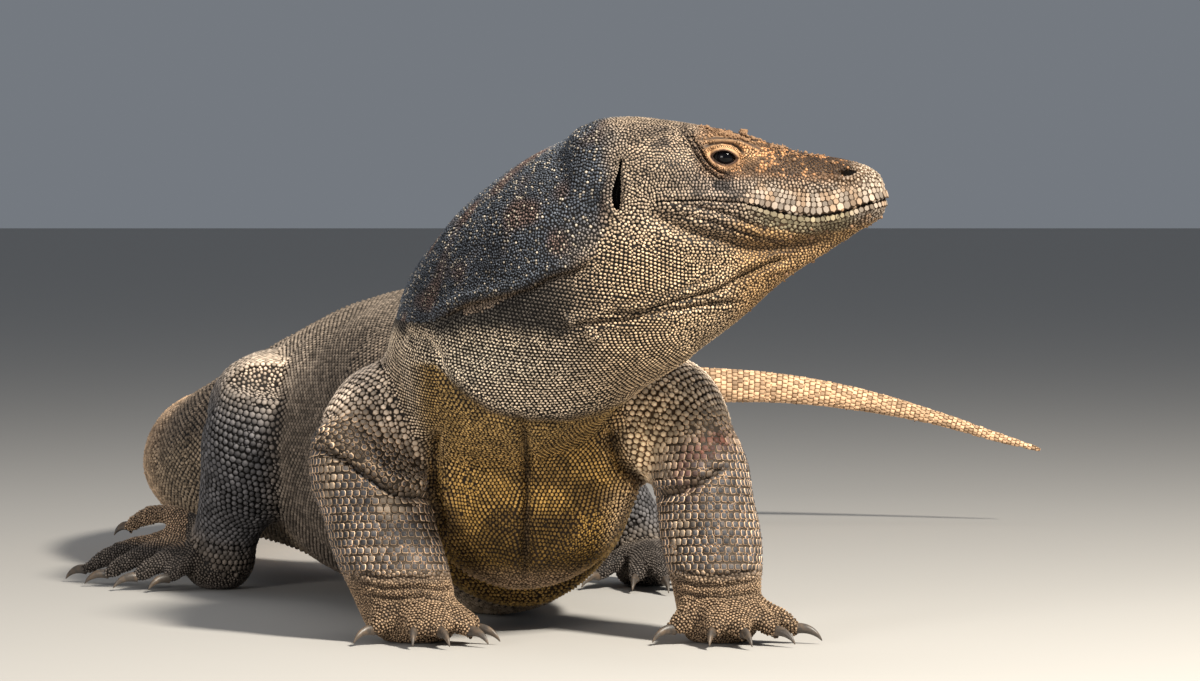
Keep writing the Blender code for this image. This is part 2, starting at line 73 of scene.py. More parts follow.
BROW_RADII = np.array([0.024, 0.011, 0.0095])
PALM_DROP = np.array([0, 0, 0.010])  # from the wrist down to the palm's middle
PALM_TALL = 0.022
ROUND = 2 * math.pi

UP, FORWARD = (0, 0, 1), (0, -1, 0)

TRUNK = [
    (0.064, -0.322, 0.120, 0.030, 0.030, 0.030),  # front of the breast
    (0.064, -0.308, 0.122, 0.070, 0.075, 0.080),
    (0.062, -0.270, 0.138, 0.088, 0.100, 0.118),  # between the shoulders
    (0.053, -0.200, 0.148, 0.102, 0.118, 0.134),
    (0.034, -0.110, 0.144, 0.117, 0.126, 0.143),
    (0.000, 0.010, 0.136, 0.130, 0.131, 0.140),  # belly
    (-0.055, 0.135, 0.132, 0.120, 0.125, 0.131),  # loin
    (-0.125, 0.260, 0.120, 0.097, 0.102, 0.098),  # pelvis
    (-0.195, 0.370, 0.104, 0.079, 0.080, 0.073),  # root of the tail
    (-0.236, 0.470, 0.093, 0.069, 0.067, 0.062),
    (-0.250, 0.590, 0.095, 0.057, 0.061, 0.058),  # bend of the tail
    (-0.220, 0.720, 0.105, 0.046, 0.055, 0.050),
    (-0.130, 0.850, 0.120, 0.036, 0.044, 0.042),
    (0.000, 0.930, 0.135, 0.026, 0.033, 0.032),
    (0.120, 0.962, 0.1425, 0.0190, 0.0245, 0.0240),
    (0.223, 0.972, 0.1432, 0.0150, 0.0197, 0.0195),
    (0.305, 0.974, 0.1400, 0.0125, 0.0165, 0.0160),
    (0.387, 0.972, 0.1283, 0.0100, 0.0130, 0.0125),
    (0.470, 0.966, 0.1085, 0.0072, 0.0084, 0.0081),
    (0.530, 0.960, 0.0900, 0.0054, 0.0061, 0.0060),
    (0.574, 0.954, 0.0772, 0.0030, 0.0034, 0.0032),  # tip of the tail
]
NECK = [
    (0.046, -0.160, 0.150, 0.076, 0.100, 0.080),  # buried between the shoulders
    (0.046, -0.250, 0.196, 0.097, 0.116, 0.092),
    (0.061, -0.325, 0.236, 0.091, 0.112, 0.092),
    (0.092, -0.372, 0.272, 0.082, 0.104, 0.102),  # middle of the neck, with the slack throat
    (0.124, -0.398, 0.302, 0.077, 0.094, 0.106),
    (0.158, -0.410, 0.325, 0.068, 0.080, 0.100),
    (0.190, -0.414, 0.336, 0.050, 0.056, 0.080),  # buried in the back of the head
]
THROAT = [
    (0.306, -0.415, 0.321, 0.009, 0.009, 0.0115),  # under the chin
    (0.274, -0.415, 0.308, 0.020, 0.016, 0.0165),
    (0.247, -0.415, 0.296, 0.030, 0.020, 0.0215),
    (0.211, -0.413, 0.278, 0.042, 0.030, 0.0330),  # slack skin of the throat
    (0.180, -0.410, 0.267, 0.052, 0.040, 0.0440),
    (0.145, -0.404, 0.262, 0.060, 0.050, 0.0560),
]
ARM_RIGHT = [
    (0.015, -0.220, 0.185, 0.056, 0.056, 0.058),  # shoulder
    (-0.030, -0.255, 0.168, 0.052, 0.053, 0.056),
    (-0.062, -0.283, 0.157, 0.046, 0.046, 0.046),
    (-0.084, -0.294, 0.149, 0.029, 0.029, 0.029),  # point of the elbow
]
FOREARM_RIGHT = [
    (-0.078, -0.288, 0.166, 0.028, 0.034, 0.030),
    (-0.069, -0.294, 0.138, 0.042, 0.046, 0.042),
    (-0.056, -0.308, 0.107, 0.0435, 0.044, 0.042),
    (-0.046, -0.322, 0.072, 0.0425, 0.040, 0.038),
    (-0.032, -0.338, 0.040, 0.0400, 0.036, 0.036),  # wrist
    (-0.024, -0.346, 0.020, 0.0380, 0.031, 0.030),
]
ARM_LEFT = [
    (0.100, -0.222, 0.186, 0.056, 0.058, 0.058),  # shoulder
    (0.148, -0.254, 0.177, 0.053, 0.053, 0.054),
    (0.182, -0.280, 0.160, 0.047, 0.046, 0.052),
    (0.204, -0.292, 0.146, 0.030, 0.030, 0.034),  # point of the elbow
]
FOREARM_LEFT = [
    (0.195, -0.288, 0.166, 0.027, 0.034, 0.030),
    (0.197, -0.296, 0.138, 0.038, 0.044, 0.042),
    (0.202, -0.310, 0.105, 0.0390, 0.043, 0.040),
    (0.207, -0.326, 0.068, 0.0390, 0.039, 0.037),
    (0.210, -0.340, 0.042, 0.0355, 0.034, 0.035),  # wrist
    (0.212, -0.348, 0.022, 0.0335, 0.030, 0.030),
]
THIGH_RIGHT = [
    (-0.105, 0.290, 0.130, 0.060, 0.064, 0.060),  # hip
    (-0.158, 0.220, 0.140, 0.055, 0.066, 0.062),
    (-0.170, 0.140, 0.152, 0.050, 0.056, 0.056),
    (-0.166, 0.085, 0.162, 0.043, 0.040, 0.044),  # knee
]
SHANK_RIGHT = [
    (-0.164, 0.090, 0.176, 0.038, 0.036, 0.030),
    (-0.170, 0.098, 0.142, 0.049, 0.045, 0.042),  # calf
    (-0.180, 0.116, 0.106, 0.046, 0.043, 0.040),
    (-0.196, 0.138, 0.074, 0.034, 0.036, 0.036),
    (-0.204, 0.152, 0.048, 0.029, 0.032, 0.032),  # ankle
    (-0.208, 0.158, 0.020, 0.028, 0.030, 0.026),
]
THIGH_LEFT = [
    (-0.110, 0.280, 0.130, 0.060, 0.064, 0.060),  # hip
    (-0.040, 0.250, 0.140, 0.055, 0.064, 0.062),
    (0.030, 0.208, 0.148, 0.050, 0.056, 0.054),
    (0.078, 0.182, 0.150, 0.036, 0.040, 0.040),  # knee
]
SHANK_LEFT = [
    (0.070, 0.180, 0.166, 0.034, 0.036, 0.030),
    (0.088, 0.184, 0.134, 0.042, 0.042, 0.042),  # calf
    (0.116, 0.196, 0.094, 0.037, 0.038, 0.038),
    (0.148, 0.212, 0.052, 0.029, 0.032, 0.032),  # ankle
    (0.160, 0.206, 0.022, 0.028, 0.028, 0.026),
]

# Head sections, behind the snout tip as a share of HEAD_LENGTH: half width, crown above and throat
# below the mouth line.
HEAD = [
    (-0.006, 0.006, 0.010, 0.008),
    (0.010, 0.0155, 0.021, 0.013),
    (0.060, 0.0235, 0.0290, 0.0185),
    (0.170, 0.0305, 0.0350, 0.0285),  # nostrils
    (0.320, 0.0350, 0.0390, 0.0420),
    (0.460, 0.0400, 0.0475, 0.0560),
    (0.600, 0.0465, 0.0560, 0.0720),  # eyes
    (0.760, 0.0545, 0.0620, 0.0900),
    (0.920, 0.0610, 0.0660, 0.1050),  # jaw muscles
    (1.060, 0.0600, 0.0660, 0.1080),
    (1.180, 0.0480, 0.0560, 0.0850),
]

# Feet: the wrist or ankle, the palm's radius, then each toe's tip, from the inner toe out, and its arch's height.
FEET = {
    "right_hand": (
        (-0.022, -0.345, 0.024),
        0.034,
        (
            (0.028, -0.368, 0.009, 0.008), (0.023, -0.389, 0.009, 0.008), (0.000, -0.403, 0.009, 0.008),
            (-0.022, -0.399, 0.009, 0.008), (-0.056, -0.378, 0.009, 0.008),
        ),
    ),
    "left_hand": (
        (0.212, -0.348, 0.024),
        0.032,
        (
            (0.174, -0.374, 0.009, 0.008), (0.205, -0.402, 0.009, 0.008), (0.230, -0.404, 0.009, 0.008),
            (0.256, -0.388, 0.009, 0.008), (0.274, -0.364, 0.009, 0.008),
        ),
    ),
    "right_foot": (
        (-0.212, 0.154, 0.028),
        0.031,
        (
            (-0.256, 0.118, 0.009, 0.008), (-0.285, 0.132, 0.009, 0.010), (-0.314, 0.172, 0.009, 0.014),
            (-0.338, 0.222, 0.009, 0.018), (-0.300, 0.240, 0.046, 0.024),
        ),
    ),
    "left_foot": (
        (0.160, 0.190, 0.026),
        0.030,
        (
            (0.116, 0.146, 0.009, 0.008), (0.150, 0.114, 0.009, 0.010), (0.176, 0.092, 0.009, 0.012),
            (0.212, 0.094, 0.009, 0.012), (0.236, 0.166, 0.009, 0.008),
        ),
    ),
}
TOE_RADIUS = 0.0105
CLAW_LENGTH = 0.024
CLAW_RADIUS = 0.0046
CLAW_RISE = math.radians(12)
CLAW_BEND = math.radians(68)

# Lines on the head, seen from the side: back from the snout tip, and above the mouth line's level.
MOUTH = [
    (-0.006, 0.003), (0.0006, 0.003), (0.0134, 0.0), (0.0285, -0.0046), (0.0436, -0.0084), (0.0549, -0.0099),
    (0.0662, -0.0092), (0.0813, -0.0069), (0.0964, -0.0031), (0.1114, 0.0006), (0.1416, 0.0022),
    (0.1718, 0.0014), (0.1793, -0.0001),
]
JAW_ROLL = [
    (0.187, -0.001), (0.178, -0.008), (0.166, -0.014), (0.150, -0.0215), (0.127, -0.027), (0.1085, -0.033),
    (0.091, -0.035), (0.071, -0.033), (0.049, -0.0255), (0.0285, -0.016),
]
EYE_FOLDS = [  # behind and under the eye
    [(0.157, 0.055), (0.151, 0.046), (0.145, 0.0345), (0.138, 0.0255), (0.130, 0.0195), (0.122, 0.017)],
    [(0.1535, 0.056), (0.1475, 0.047), (0.1415, 0.0375), (0.135, 0.029), (0.128, 0.023), (0.119, 0.020)],
    [(0.1425, 0.0400), (0.1400, 0.0337), (0.1350, 0.0275), (0.1285, 0.0235), (0.1215, 0.0225)],
]
LID_FOLDS = [  # over the eye
    [(0.1377, 0.0425), (0.1332, 0.0442), (0.1257, 0.0454), (0.1183, 0.0444), (0.1138, 0.0421), (0.1100, 0.0375)],
    [(0.1430, 0.0478), (0.1302, 0.0486), (0.1198, 0.0484), (0.1108, 0.0468), (0.1048, 0.0444), (0.0973, 0.0408)],
]
JAW_FOLDS = [  # behind the corner of the mouth
    [(0.1572, -0.0006), (0.1452, -0.0022), (0.1332, -0.0046), (0.1173, -0.0097), (0.1053, -0.0151), (0.0933, -0.0192)],
    [(0.1650, -0.0080), (0.1500, -0.0100), (0.1330, -0.0140), (0.1150, -0.0205), (0.0980, -0.0255), (0.0800, -0.0285)],
]
EAR = [(0.2013, 0.031), (0.2035, 0.0173), (0.205, 0.006), (0.2043, -0.003)]
NOSTRIL = (0.030, 0.0225)

# Folds of the neck, seen from the animal's right: x, z; then half width, depth, height of the banks, and how far
# the skin above hangs over the skin below.
RIDGE = [(-0.010, 0.247), (0.020, 0.263), (0.044, 0.269), (0.067, 0.275)]
RIDGE += [(0.082, 0.284), (0.105, 0.291), (0.116, 0.300)]
NECK_FOLDS = [
    (
        [(0.114, 0.256), (0.129, 0.258), (0.150, 0.259), (0.167, 0.264), (0.188, 0.269), (0.206, 0.273)]
        + [(0.229, 0.286), (0.247, 0.294), (0.271, 0.299)],
        0.0024, 0.0042, 0.0016, 0.0012,
    ),
    (
        [(0.090, 0.245), (0.105, 0.249), (0.120, 0.251), (0.143, 0.253), (0.165, 0.258), (0.188, 0.262)]
        + [(0.207, 0.265), (0.230, 0.266)],
        0.0022, 0.0034, 0.0014, 0.0010,
    ),
    (
        [(0.118, 0.263), (0.140, 0.265), (0.160, 0.268), (0.180, 0.274), (0.198, 0.281), (0.214, 0.291)],
        0.0020, 0.0016, 0.0008, 0.0,
    ),
    (RIDGE, 0.0026, 0.0020, 0.0012, 0.0034),
    (
        [(-0.040, 0.229), (-0.028, 0.238), (-0.015, 0.236), (-0.005, 0.227), (0.001, 0.213), (0.014, 0.199)],
        0.004, 0.003, 0.0014, 0.0,
    ),
    ([(0.094, 0.257), (0.097, 0.251), (0.104, 0.247)], 0.0022, -0.0030, 0.0, 0.0),
    ([(0.110, 0.249), (0.114, 0.241), (0.121, 0.237)], 0.0024, -0.0034, 0.0, 0.0),
]
# Folds of the breast and forelegs, seen from the front: x, z.
BIB = [(-0.006, 0.216), (0.008, 0.203), (0.0205, 0.193), (0.0376, 0.182)]
BIB += [(0.064, 0.176), (0.094, 0.176), (0.140, 0.188)]
ELBOW_FOLD = [(-0.105, 0.151), (-0.092, 0.148), (-0.077, 0.142), (-0.059, 0.130), (-0.041, 0.118), (-0.010, 0.111)]
FRONT_FOLDS = [
    ([(0.060, 0.190), (0.063, 0.154), (0.064, 0.123), (0.063, 0.084), (0.061, 0.035)], 0.0036, 0.0056, 0.0016, 0.0),
    (BIB, 0.0040, 0.0036, 0.0010, 0.0080),
    (
        [(-0.006, 0.166), (-0.009, 0.150), (-0.009, 0.131), (-0.011, 0.117), (-0.007, 0.100), (-0.003, 0.076)],
        0.0048, 0.0090, 0.0014, 0.0,
    ),
    ([(0.129, 0.166), (0.132, 0.150), (0.137, 0.135), (0.151, 0.121), (0.163, 0.110)], 0.0048, 0.0085, 0.0014, 0.0),
    (ELBOW_FOLD, 0.0034, 0.0040, 0.0016, 0.0042),
    ([(-0.104, 0.159), (-0.088, 0.155), (-0.071, 0.148), (-0.058, 0.138)], 0.0026, 0.0020, 0.0008, 0.0),
    ([(0.162, 0.111), (0.182, 0.117), (0.201, 0.126), (0.220, 0.138)], 0.0034, 0.0036, 0.0010, 0.0010),
    ([(-0.066, 0.048), (-0.045, 0.043), (-0.020, 0.044), (0.008, 0.040)], 0.0016, 0.0016, 0.0008, 0.0006),
    ([(-0.064, 0.040), (-0.040, 0.035), (-0.016, 0.037), (0.010, 0.032)], 0.0016, 0.0018, 0.0008, 0.0006),
    ([(-0.066, 0.055), (-0.050, 0.051), (-0.030, 0.052), (-0.006, 0.050)], 0.0016, 0.0012, 0.0006, 0.0004),
    ([(0.176, 0.050), (0.195, 0.045), (0.215, 0.045), (0.244, 0.049)], 0.0016, 0.0016, 0.0008, 0.0006),
    ([(0.176, 0.042), (0.196, 0.037), (0.216, 0.037), (0.246, 0.040)], 0.0016, 0.0018, 0.0008, 0.0006),
    ([(0.177, 0.058), (0.196, 0.053), (0.216, 0.053), (0.243, 0.057)], 0.0016, 0.0012, 0.0006, 0.0004),
]
FACE_GROOVES = (  # lines, then half width, depth and height of the banks
    ([JAW_ROLL], 0.0052, 0.0042, 0.0012),
    (EYE_FOLDS, 0.0012, 0.0026, 0.0009),
    (LID_FOLDS, 0.0010, 0.0024, 0.0011),
    (JAW_FOLDS, 0.0015, 0.0016, 0.0007),
)


# ---------------------------------------------------------------- lofts


def distances(stations):
    """How far along the chords each station is."""
    places = np.array(stations)[:, :3]
    return np.concatenate([[0], np.cumsum(np.linalg.norm(np.diff(places, axis=0), axis=1))])


def rows_at(stations, at):
    """Rows at given distances on the smooth curve through the stations: cubic pieces on chord length."""
    rows, along = np.array(stations, float), distances(stations)
    slopes = np.gradient(rows, along, axis=0)
    i = np.clip(np.searchsorted(along, at, side="right") - 1, 0, len(along) - 2)
    span = (along[i + 1] - along[i])[:, None]
    t = (at - along[i])[:, None] / span
    return (
        (2 * t**3 - 3 * t**2 + 1) * rows[i]
        + (t**3 - 2 * t**2 + t) * span * slopes[i]
        + (3 * t**2 - 2 * t**3) * rows[i + 1]
        + (t**3 - t**2) * span * slopes[i + 1]
    )


def unit(vectors):
    """Vectors over their lengths."""
    return vectors / np.maximum(np.linalg.norm(vectors, axis=-1, keepdims=True), 1e-12)


def ramp(low, high, value):
    """0 below low, 1 above high, and 3t^2 - 2t^3 between."""
    t = np.clip((value - low) / (high - low), 0, 1)
    return t * t * (3 - 2 * t)


def bell(*pairs):
    """exp(-(value / width)^2), with the squares of several values, each given before its width, added up."""
    return np.exp(-sum((value / width) ** 2 for value, width in zip(pairs[::2], pairs[1::2])))


def mottle(points, size, seed):
    """Smooth random values from 0 to 1: numbers at the corners of cells of a size, blended by 3t^2 - 2t^3."""
    cells = points / size
    base = np.floor(cells)
    share = cells - base
    share = share * share * (3 - 2 * share)
    total = np.zeros(len(points))
    for corner in np.ndindex(2, 2, 2):
        spot = base + corner
        value = np.sin(spot @ (12.9898, 78.233, 37.719) + 5.31 * seed) * 43758.5453
        weight = np.prod(np.where(corner, share, 1 - share), axis=1)
        total += weight * (value - np.floor(value))
    return total


def path_frame(stations, at, upward):
    """Rows at given distances, and the directions ahead, up and across there."""
    rows = rows_at(stations, at)
    ahead = unit(rows_at(stations, at + STEP)[:, :3] - rows_at(stations, at - STEP)[:, :3])
    up = np.array(upward, float)
    up = unit(up - (ahead @ up)[:, None] * ahead)
    return rows, ahead, up, np.cross(ahead, up)


def tube_points(stations, upward, at, turn, slimmer, least):
    """Points on a tube: centre + half width * cos(turn) across + (rise or drop) * sin(turn) up."""
    rows, _, up, across = path_frame(stations, at, upward)
    sizes = np.maximum(rows[:, 3:] - slimmer, least)
    tall = np.where(np.sin(turn) > 0, sizes[:, 1:2], sizes[:, 2:3]) * np.sin(turn)
    wide = sizes[:, :1] * np.cos(turn)
    return rows[:, None, :3] + wide[..., None] * across[:, None] + tall[..., None] * up[:, None]


def tube_rings(stations, upward, spacing, around, slimmer, least=0.0):
    """Rings of a tube, about a spacing apart."""
    length = distances(stations)[-1]
    at = np.linspace(0, length, round(length / spacing) + 1)
    turn = np.linspace(0, ROUND, around, endpoint=False)
    return tube_points(stations, upward, at, turn[None], slimmer, least)


def head_rings(around, slimmer):
    """Rings of the head: superellipses, boxier above the mouth line than below it."""
    rows = np.array(HEAD, float)
    turn = np.linspace(0, ROUND, around, endpoint=False)
    side, high = np.cos(turn), np.sin(turn)
    boxy = np.where(high > 0, *HEAD_POWERS)
    sizes = np.maximum(rows[:, 1:] - slimmer, 0.004)
    wide = np.sign(side) * np.abs(side) ** (2 / boxy) * sizes[:, :1]
    tall = np.sign(high) * np.abs(high) ** (2 / boxy) * np.where(high > 0, sizes[:, 1:2], sizes[:, 2:3])
    back = np.broadcast_to(rows[:, :1] * HEAD_LENGTH + slimmer * (rows[:, :1] < 0.02), wide.shape)
    return np.stack([SNOUT[0] - back, SNOUT[1] - wide, SNOUT[2] + tall], axis=-1)


def ball_rings(centre, radii, around=20):
    """Rings of an ellipsoid between its poles: radius sin(t), height -cos(t)."""
    t = np.linspace(0.12, math.pi - 0.12, around // 2)[:, None]
    turn = np.linspace(0, ROUND, around, endpoint=False)[None]
    shape = np.stack([np.sin(t) * np.cos(turn), np.sin(t) * np.sin(turn), -np.cos(t) + 0 * turn], axis=-1)
    return np.array(centre) + shape * np.array(radii)


def on_head(back, side, high):
    """A place given back from the snout tip, out from the head's middle and above the mouth line's level."""
    return SNOUT + np.array([-back, side, high])


def toe_path(root, tip, arch):
    """A toe leaves the palm, arches over its knuckle and comes down to its tip."""
    share = np.array([0.0, 0.3, 0.6, 0.85, 1.0])
    thick = np.array([1.45, 1.25, 1.05, 0.95, 0.7]) * TOE_RADIUS
    at = np.array(root) + share[:, None] * (np.array(tip) - root)
    at[:, 2] += 4 * arch * share * (1 - share)
    return [(*p, r, r, r) for p, r in zip(at, thick)]


LIMBS = {
    "right_upper_arm": (ARM_RIGHT, FORWARD),
    "right_forearm": (FOREARM_RIGHT, FORWARD),
    "left_upper_arm": (ARM_LEFT, FORWARD),
    "left_forearm": (FOREARM_LEFT, FORWARD),
    "right_thigh": (THIGH_RIGHT, UP),
    "right_shank": (SHANK_RIGHT, FORWARD),
    "left_thigh": (THIGH_LEFT, UP),
    "left_shank": (SHANK_LEFT, FORWARD),
}
TOES = {
    f"{foot}_toe_{i + 1}": toe_path(root, tip, arch)
    for foot, (root, _, toes) in FEET.items()
    for i, (*tip, arch) in enumerate(toes)
}


# ---------------------------------------------------------------- skin


def reworked(mesh, work):
    """Opens a mesh for editing, does the work on it and puts it back."""
    shape = bmesh.new()
    shape.from_mesh(mesh)
    work(shape)
    shape.to_mesh(mesh)
    shape.free()


def turn_outward(shape):
    """Turns all faces of an opened mesh outward."""
    bmesh.ops.recalc_face_normals(shape, faces=shape.faces)


def placed(name, data):
    """A new object of the scene with its data."""
    made = bpy.data.objects.new(name, data)
    bpy.context.scene.collection.objects.link(made)
    return made


def modified(mesh, *modifiers):
    """A copy of a mesh with modifiers worked out, each given as its kind and settings."""
    holder = placed("holder", mesh)
    for kind, settings in modifiers:
        modifier = holder.modifiers.new(kind, kind)
        for name, value in settings.items():
            setattr(modifier, name, value)
    bpy.context.view_layer.update()
    made = bpy.data.meshes.new_from_object(holder.evaluated_get(bpy.context.evaluated_depsgraph_get()))
    bpy.data.objects.remove(holder)
    return made


def closed_rings(rings):
    """Points and faces of a tube through rings, with a fan over each end."""
    count, around = rings.shape[:2]
    points = np.concatenate([rings.reshape(-1, 3), rings[[0, -1]].mean(axis=1)])
    i, j = np.meshgrid(np.arange(count - 1), np.arange(around), indexing="ij")
    k = (j + 1) % around
    quads = np.stack([i * around + j, i * around + k, (i + 1) * around + k, (i + 1) * around + j], -1)
    j = np.arange(around)
    k = (j + 1) % around
    last = (count - 1) * around
    fans = [np.stack([j, np.full(around, count * around), k], -1)]
    fans.append(np.stack([last + j, last + k, np.full(around, count * around + 1)], -1))
    return points, [*quads.reshape(-1, 4).tolist(), *np.concatenate(fans).tolist()]


def body_blank():
    """All the lofts as overlapping closed tubes, slimmer than the solids by the coat's depth."""
    rings = [
        tube_rings(TRUNK, UP, 0.010, 40, COAT, FINEST_TAIL),
        tube_rings(NECK, UP, 0.010, 40, COAT),
        tube_rings(THROAT, UP, 0.010, 32, COAT, 0.006),
        head_rings(48, COAT),
    ]
    rings += [ball_rings(on_head(EYE_BACK, side * BROW_OUT, BROW_HEIGHT), BROW_RADII - COAT) for side in (-1, 1)]
    rings += [tube_rings(stations, upward, 0.008, 28, COAT) for stations, upward in LIMBS.values()]
    rings += [tube_rings(stations, UP, 0.005, 16, COAT) for stations in TOES.values()]
    rings += [ball_rings(root - PALM_DROP, np.array([palm, palm, PALM_TALL]) - COAT) for root, palm, _ in FEET.values()]
    points, faces, start = [], [], 0
    for part in rings:
        part_points, part_faces = closed_rings(part)
        points.append(part_points)
        faces += [[start + v for v in face] for face in part_faces]
        start += len(part_points)
    mesh = bpy.data.meshes.new("blank")
    mesh.from_pydata(np.concatenate(points).tolist(), [], faces)
    reworked(mesh, turn_outward)
    return mesh


def array_of(items, field, width, kind=np.float32):
    """A field of all of Blender's items, in rows of a width."""
    values = np.empty(len(items) * width, kind)
    items.foreach_get(field, values)
    return values.reshape(-1, width)


def points_of(mesh):
    """Places of a mesh's points."""
    return array_of(mesh.vertices, "co", 3).astype(float)


def edges_of(mesh):
    """The two points of each edge."""
    return array_of(mesh.edges, "vertices", 2, np.int32)


def normals_of(mesh):
    """Smooth normals at a mesh's points."""
    return array_of(mesh.vertex_normals, "vector", 3).astype(float)


def triangles_of(mesh):
    """The three points of each triangle."""
    mesh.calc_loop_triangles()
    return array_of(mesh.loop_triangles, "vertices", 3, np.int32)


def move_points(mesh, points):
    """Gives a mesh's points new places."""
    mesh.vertices.foreach_set("co", np.ascontiguousarray(points, np.float32).ravel())
    mesh.update()


def eased(points, edges, weight, rounds):
    """Each point moves towards the mean of its neighbours, by its weight."""
    count = np.maximum(np.bincount(edges.ravel(), minlength=len(points)), 1)[:, None]
    for _ in range(rounds):
        total = np.zeros_like(points)
        np.add.at(total, edges[:, 0], points[edges[:, 1]])
        np.add.at(total, edges[:, 1], points[edges[:, 0]])
        points = points + weight[:, None] * (total / count - points)
    return points


def finer_where(mesh, chosen):
    """Halves every edge of the mesh whose middle is in the chosen region."""
    wanted = np.flatnonzero(chosen(points_of(mesh)[edges_of(mesh)].mean(axis=1)))

    def halve(shape):
        """Cuts the wanted edges of an opened mesh once."""
        shape.edges.ensure_lookup_table()
        bmesh.ops.subdivide_edges(shape, edges=[shape.edges[i] for i in wanted], cuts=1, use_grid_fill=True)

    reworked(mesh, halve)
    mesh.update()


def head_place(points):
    """Back from the snout tip, out from the middle of the head, and above the mouth line's level."""
    return SNOUT[0] - points[:, 0], points[:, 1] - SNOUT[1], points[:, 2] - SNOUT[2]


def near_face(points):
    """True on the head in front of the ears, where the skin is made finer."""
    back, _, high = head_place(points)
    return (back < 0.222) & (high > -0.060 - back * 0.1) & (points[:, 1] < -0.32)


def near_folds(points):
    """True near the folds of neck, breast and forelegs, away from the face."""
    near = np.zeros(len(points), bool)
    for folds, region in ((NECK_FOLDS, points[:, 1] < -0.15), (FRONT_FOLDS, points[:, 1] < -0.2)):
        places = points[region][:, [0, 2]]
        for line, *_ in folds:
            near[region] |= line_place(places, line)[0] < FINE_REACH
    return near & ~near_face(points)


def near_eyes(points):
    """True in the round of skin about each eye, its folds and its brow."""
    back, _, high = head_place(points)
    return (np.hypot(back - EYE_BACK - 0.007, high - EYE_HEIGHT - 0.002) < 0.027) & (high > 0.008)


def line_place(places, line):
    """Distance from flat places to a line of points, and the share of the line's length at the nearest."""
    line = np.array(line, float)
    spans = np.diff(line, axis=0)
    lengths = np.linalg.norm(spans, axis=1)
    starts = np.concatenate([[0], np.cumsum(lengths)])
    best, share = np.full(len(places), 1e9), np.zeros(len(places))
    for start, span, length, before in zip(line[:-1], spans, lengths, starts):
        t = np.clip((places - start) @ span / length**2, 0, 1)
        gap = np.linalg.norm(places - start - t[:, None] * span, axis=1)
        share = np.where(gap < best, (before + t * length) / starts[-1], share)
        best = np.minimum(best, gap)
    return best, share


def trench(places, line, width, depth, banks=0.0, hang=0.0):
    """A groove: -depth * exp(-(d / width)^2), raised on both sides, and fading at both ends of the line.

    With a hang, the skin above the line stands out by it and the skin below lies back by it.
    """
    gap, share = line_place(places, line)
    fade = ramp(-0.02, 0.14, share) * ramp(1.02, 0.86, share)
    relief = banks * bell(gap - 2.3 * width, width) - depth * bell(gap, width)
    if hang:
        above = ramp(-0.0005, 0.0005, places[:, 1] - height_on(sorted(line), places[:, 0]))
        relief += hang * (above * bell(gap, 3.4 * width) - (1 - above) * bell(gap, 2.4 * width))
    return fade * relief


def height_on(line, at):
    """Height of a line of points over places along its run."""
    return np.interp(at, *np.array(line).T)


def eye_ring(back, high):
    """Size of the almond through a place on the side of the head, where the edge of the lids is 1."""
    along, over = back - EYE_BACK, high - EYE_HEIGHT - 0.08 * (back - EYE_BACK)
    along, over = along / EYE_OPENING[0], over / EYE_OPENING[1]
    return (np.abs(along) ** EYE_POWER + np.abs(over) ** EYE_POWER) ** (1 / EYE_POWER)


def on_lids(back, high):
    """True on the smooth bands of the lids, between the eye's opening and the first creases round it."""
    flat = np.stack([back, high], -1)
    creased = np.min([line_place(flat, line)[0] for line in LID_FOLDS], axis=0) < 0.0019
    return (eye_ring(back, high) < np.where(high > EYE_HEIGHT, 1.62, 1.5)) | creased


def nostril_ring(back, high):
    """Size of the slanting oval through a place on the snout, where the edge of the nostril is 1."""
    along, over = back - NOSTRIL[0], high - NOSTRIL[1] + 0.1 * (back - NOSTRIL[0])
    return np.hypot(along / NOSTRIL_OPENING[0], over / NOSTRIL_OPENING[1])


def ear_ring(back, high):
    """Distance from the ear's slit over its half width, which is widest low down."""
    gap, share = line_place(np.stack([back, high], -1), EAR)
    return gap / (0.0012 + 0.0024 * ramp(0.1, 0.7, share) * ramp(1.1, 0.9, share))


def head_relief(points, normals):
    """How far each point of the head's skin stands out along its normal: grooves, bulges and rims, added up."""
    back, side, high = head_place(points)
    flat = np.stack([back, high], -1)
    flank = ramp(0.15, 0.5, np.abs(normals[:, 1])) * (back < 0.26) * (np.abs(side) < 0.09)
    face = np.maximum(flank, ramp(0.2, 0.5, normals[:, 0]) * (back < 0.03))
    gap, share = line_place(flat, MOUTH)
    fade = ramp(1.0, 0.93, share)
    relief = face * fade * (0.0012 * bell(gap - 0.0036, 0.0026) - 0.0028 * bell(gap, 0.0009))
    upper = ramp(-0.001, 0.001, high - height_on(MOUTH, back))
    relief += face * fade * 0.0010 * upper * bell(gap, 0.004)
    for lines, *groove in FACE_GROOVES:
        for line in lines:
            relief += flank * trench(flat, line, *groove)
    cheek = np.hypot((back - 0.168) / 0.030, (high - 0.026) / 0.024)
    relief += flank * 0.0035 * bell(cheek, 1)
    hollow = np.hypot((back - 0.100) / 0.010, (high - 0.022) / 0.010)
    relief -= flank * 0.0022 * bell(hollow, 1)
    ring = ear_ring(back, high)
    relief += flank * (0.0024 * bell(ring - 2.3, 0.9) - 0.011 * np.exp(-(ring**4)))
    ring = nostril_ring(back, high)
    relief += flank * (0.0020 * bell(ring - 1.75, 0.55) - 0.0060 * np.exp(-(ring**4)))
    return relief


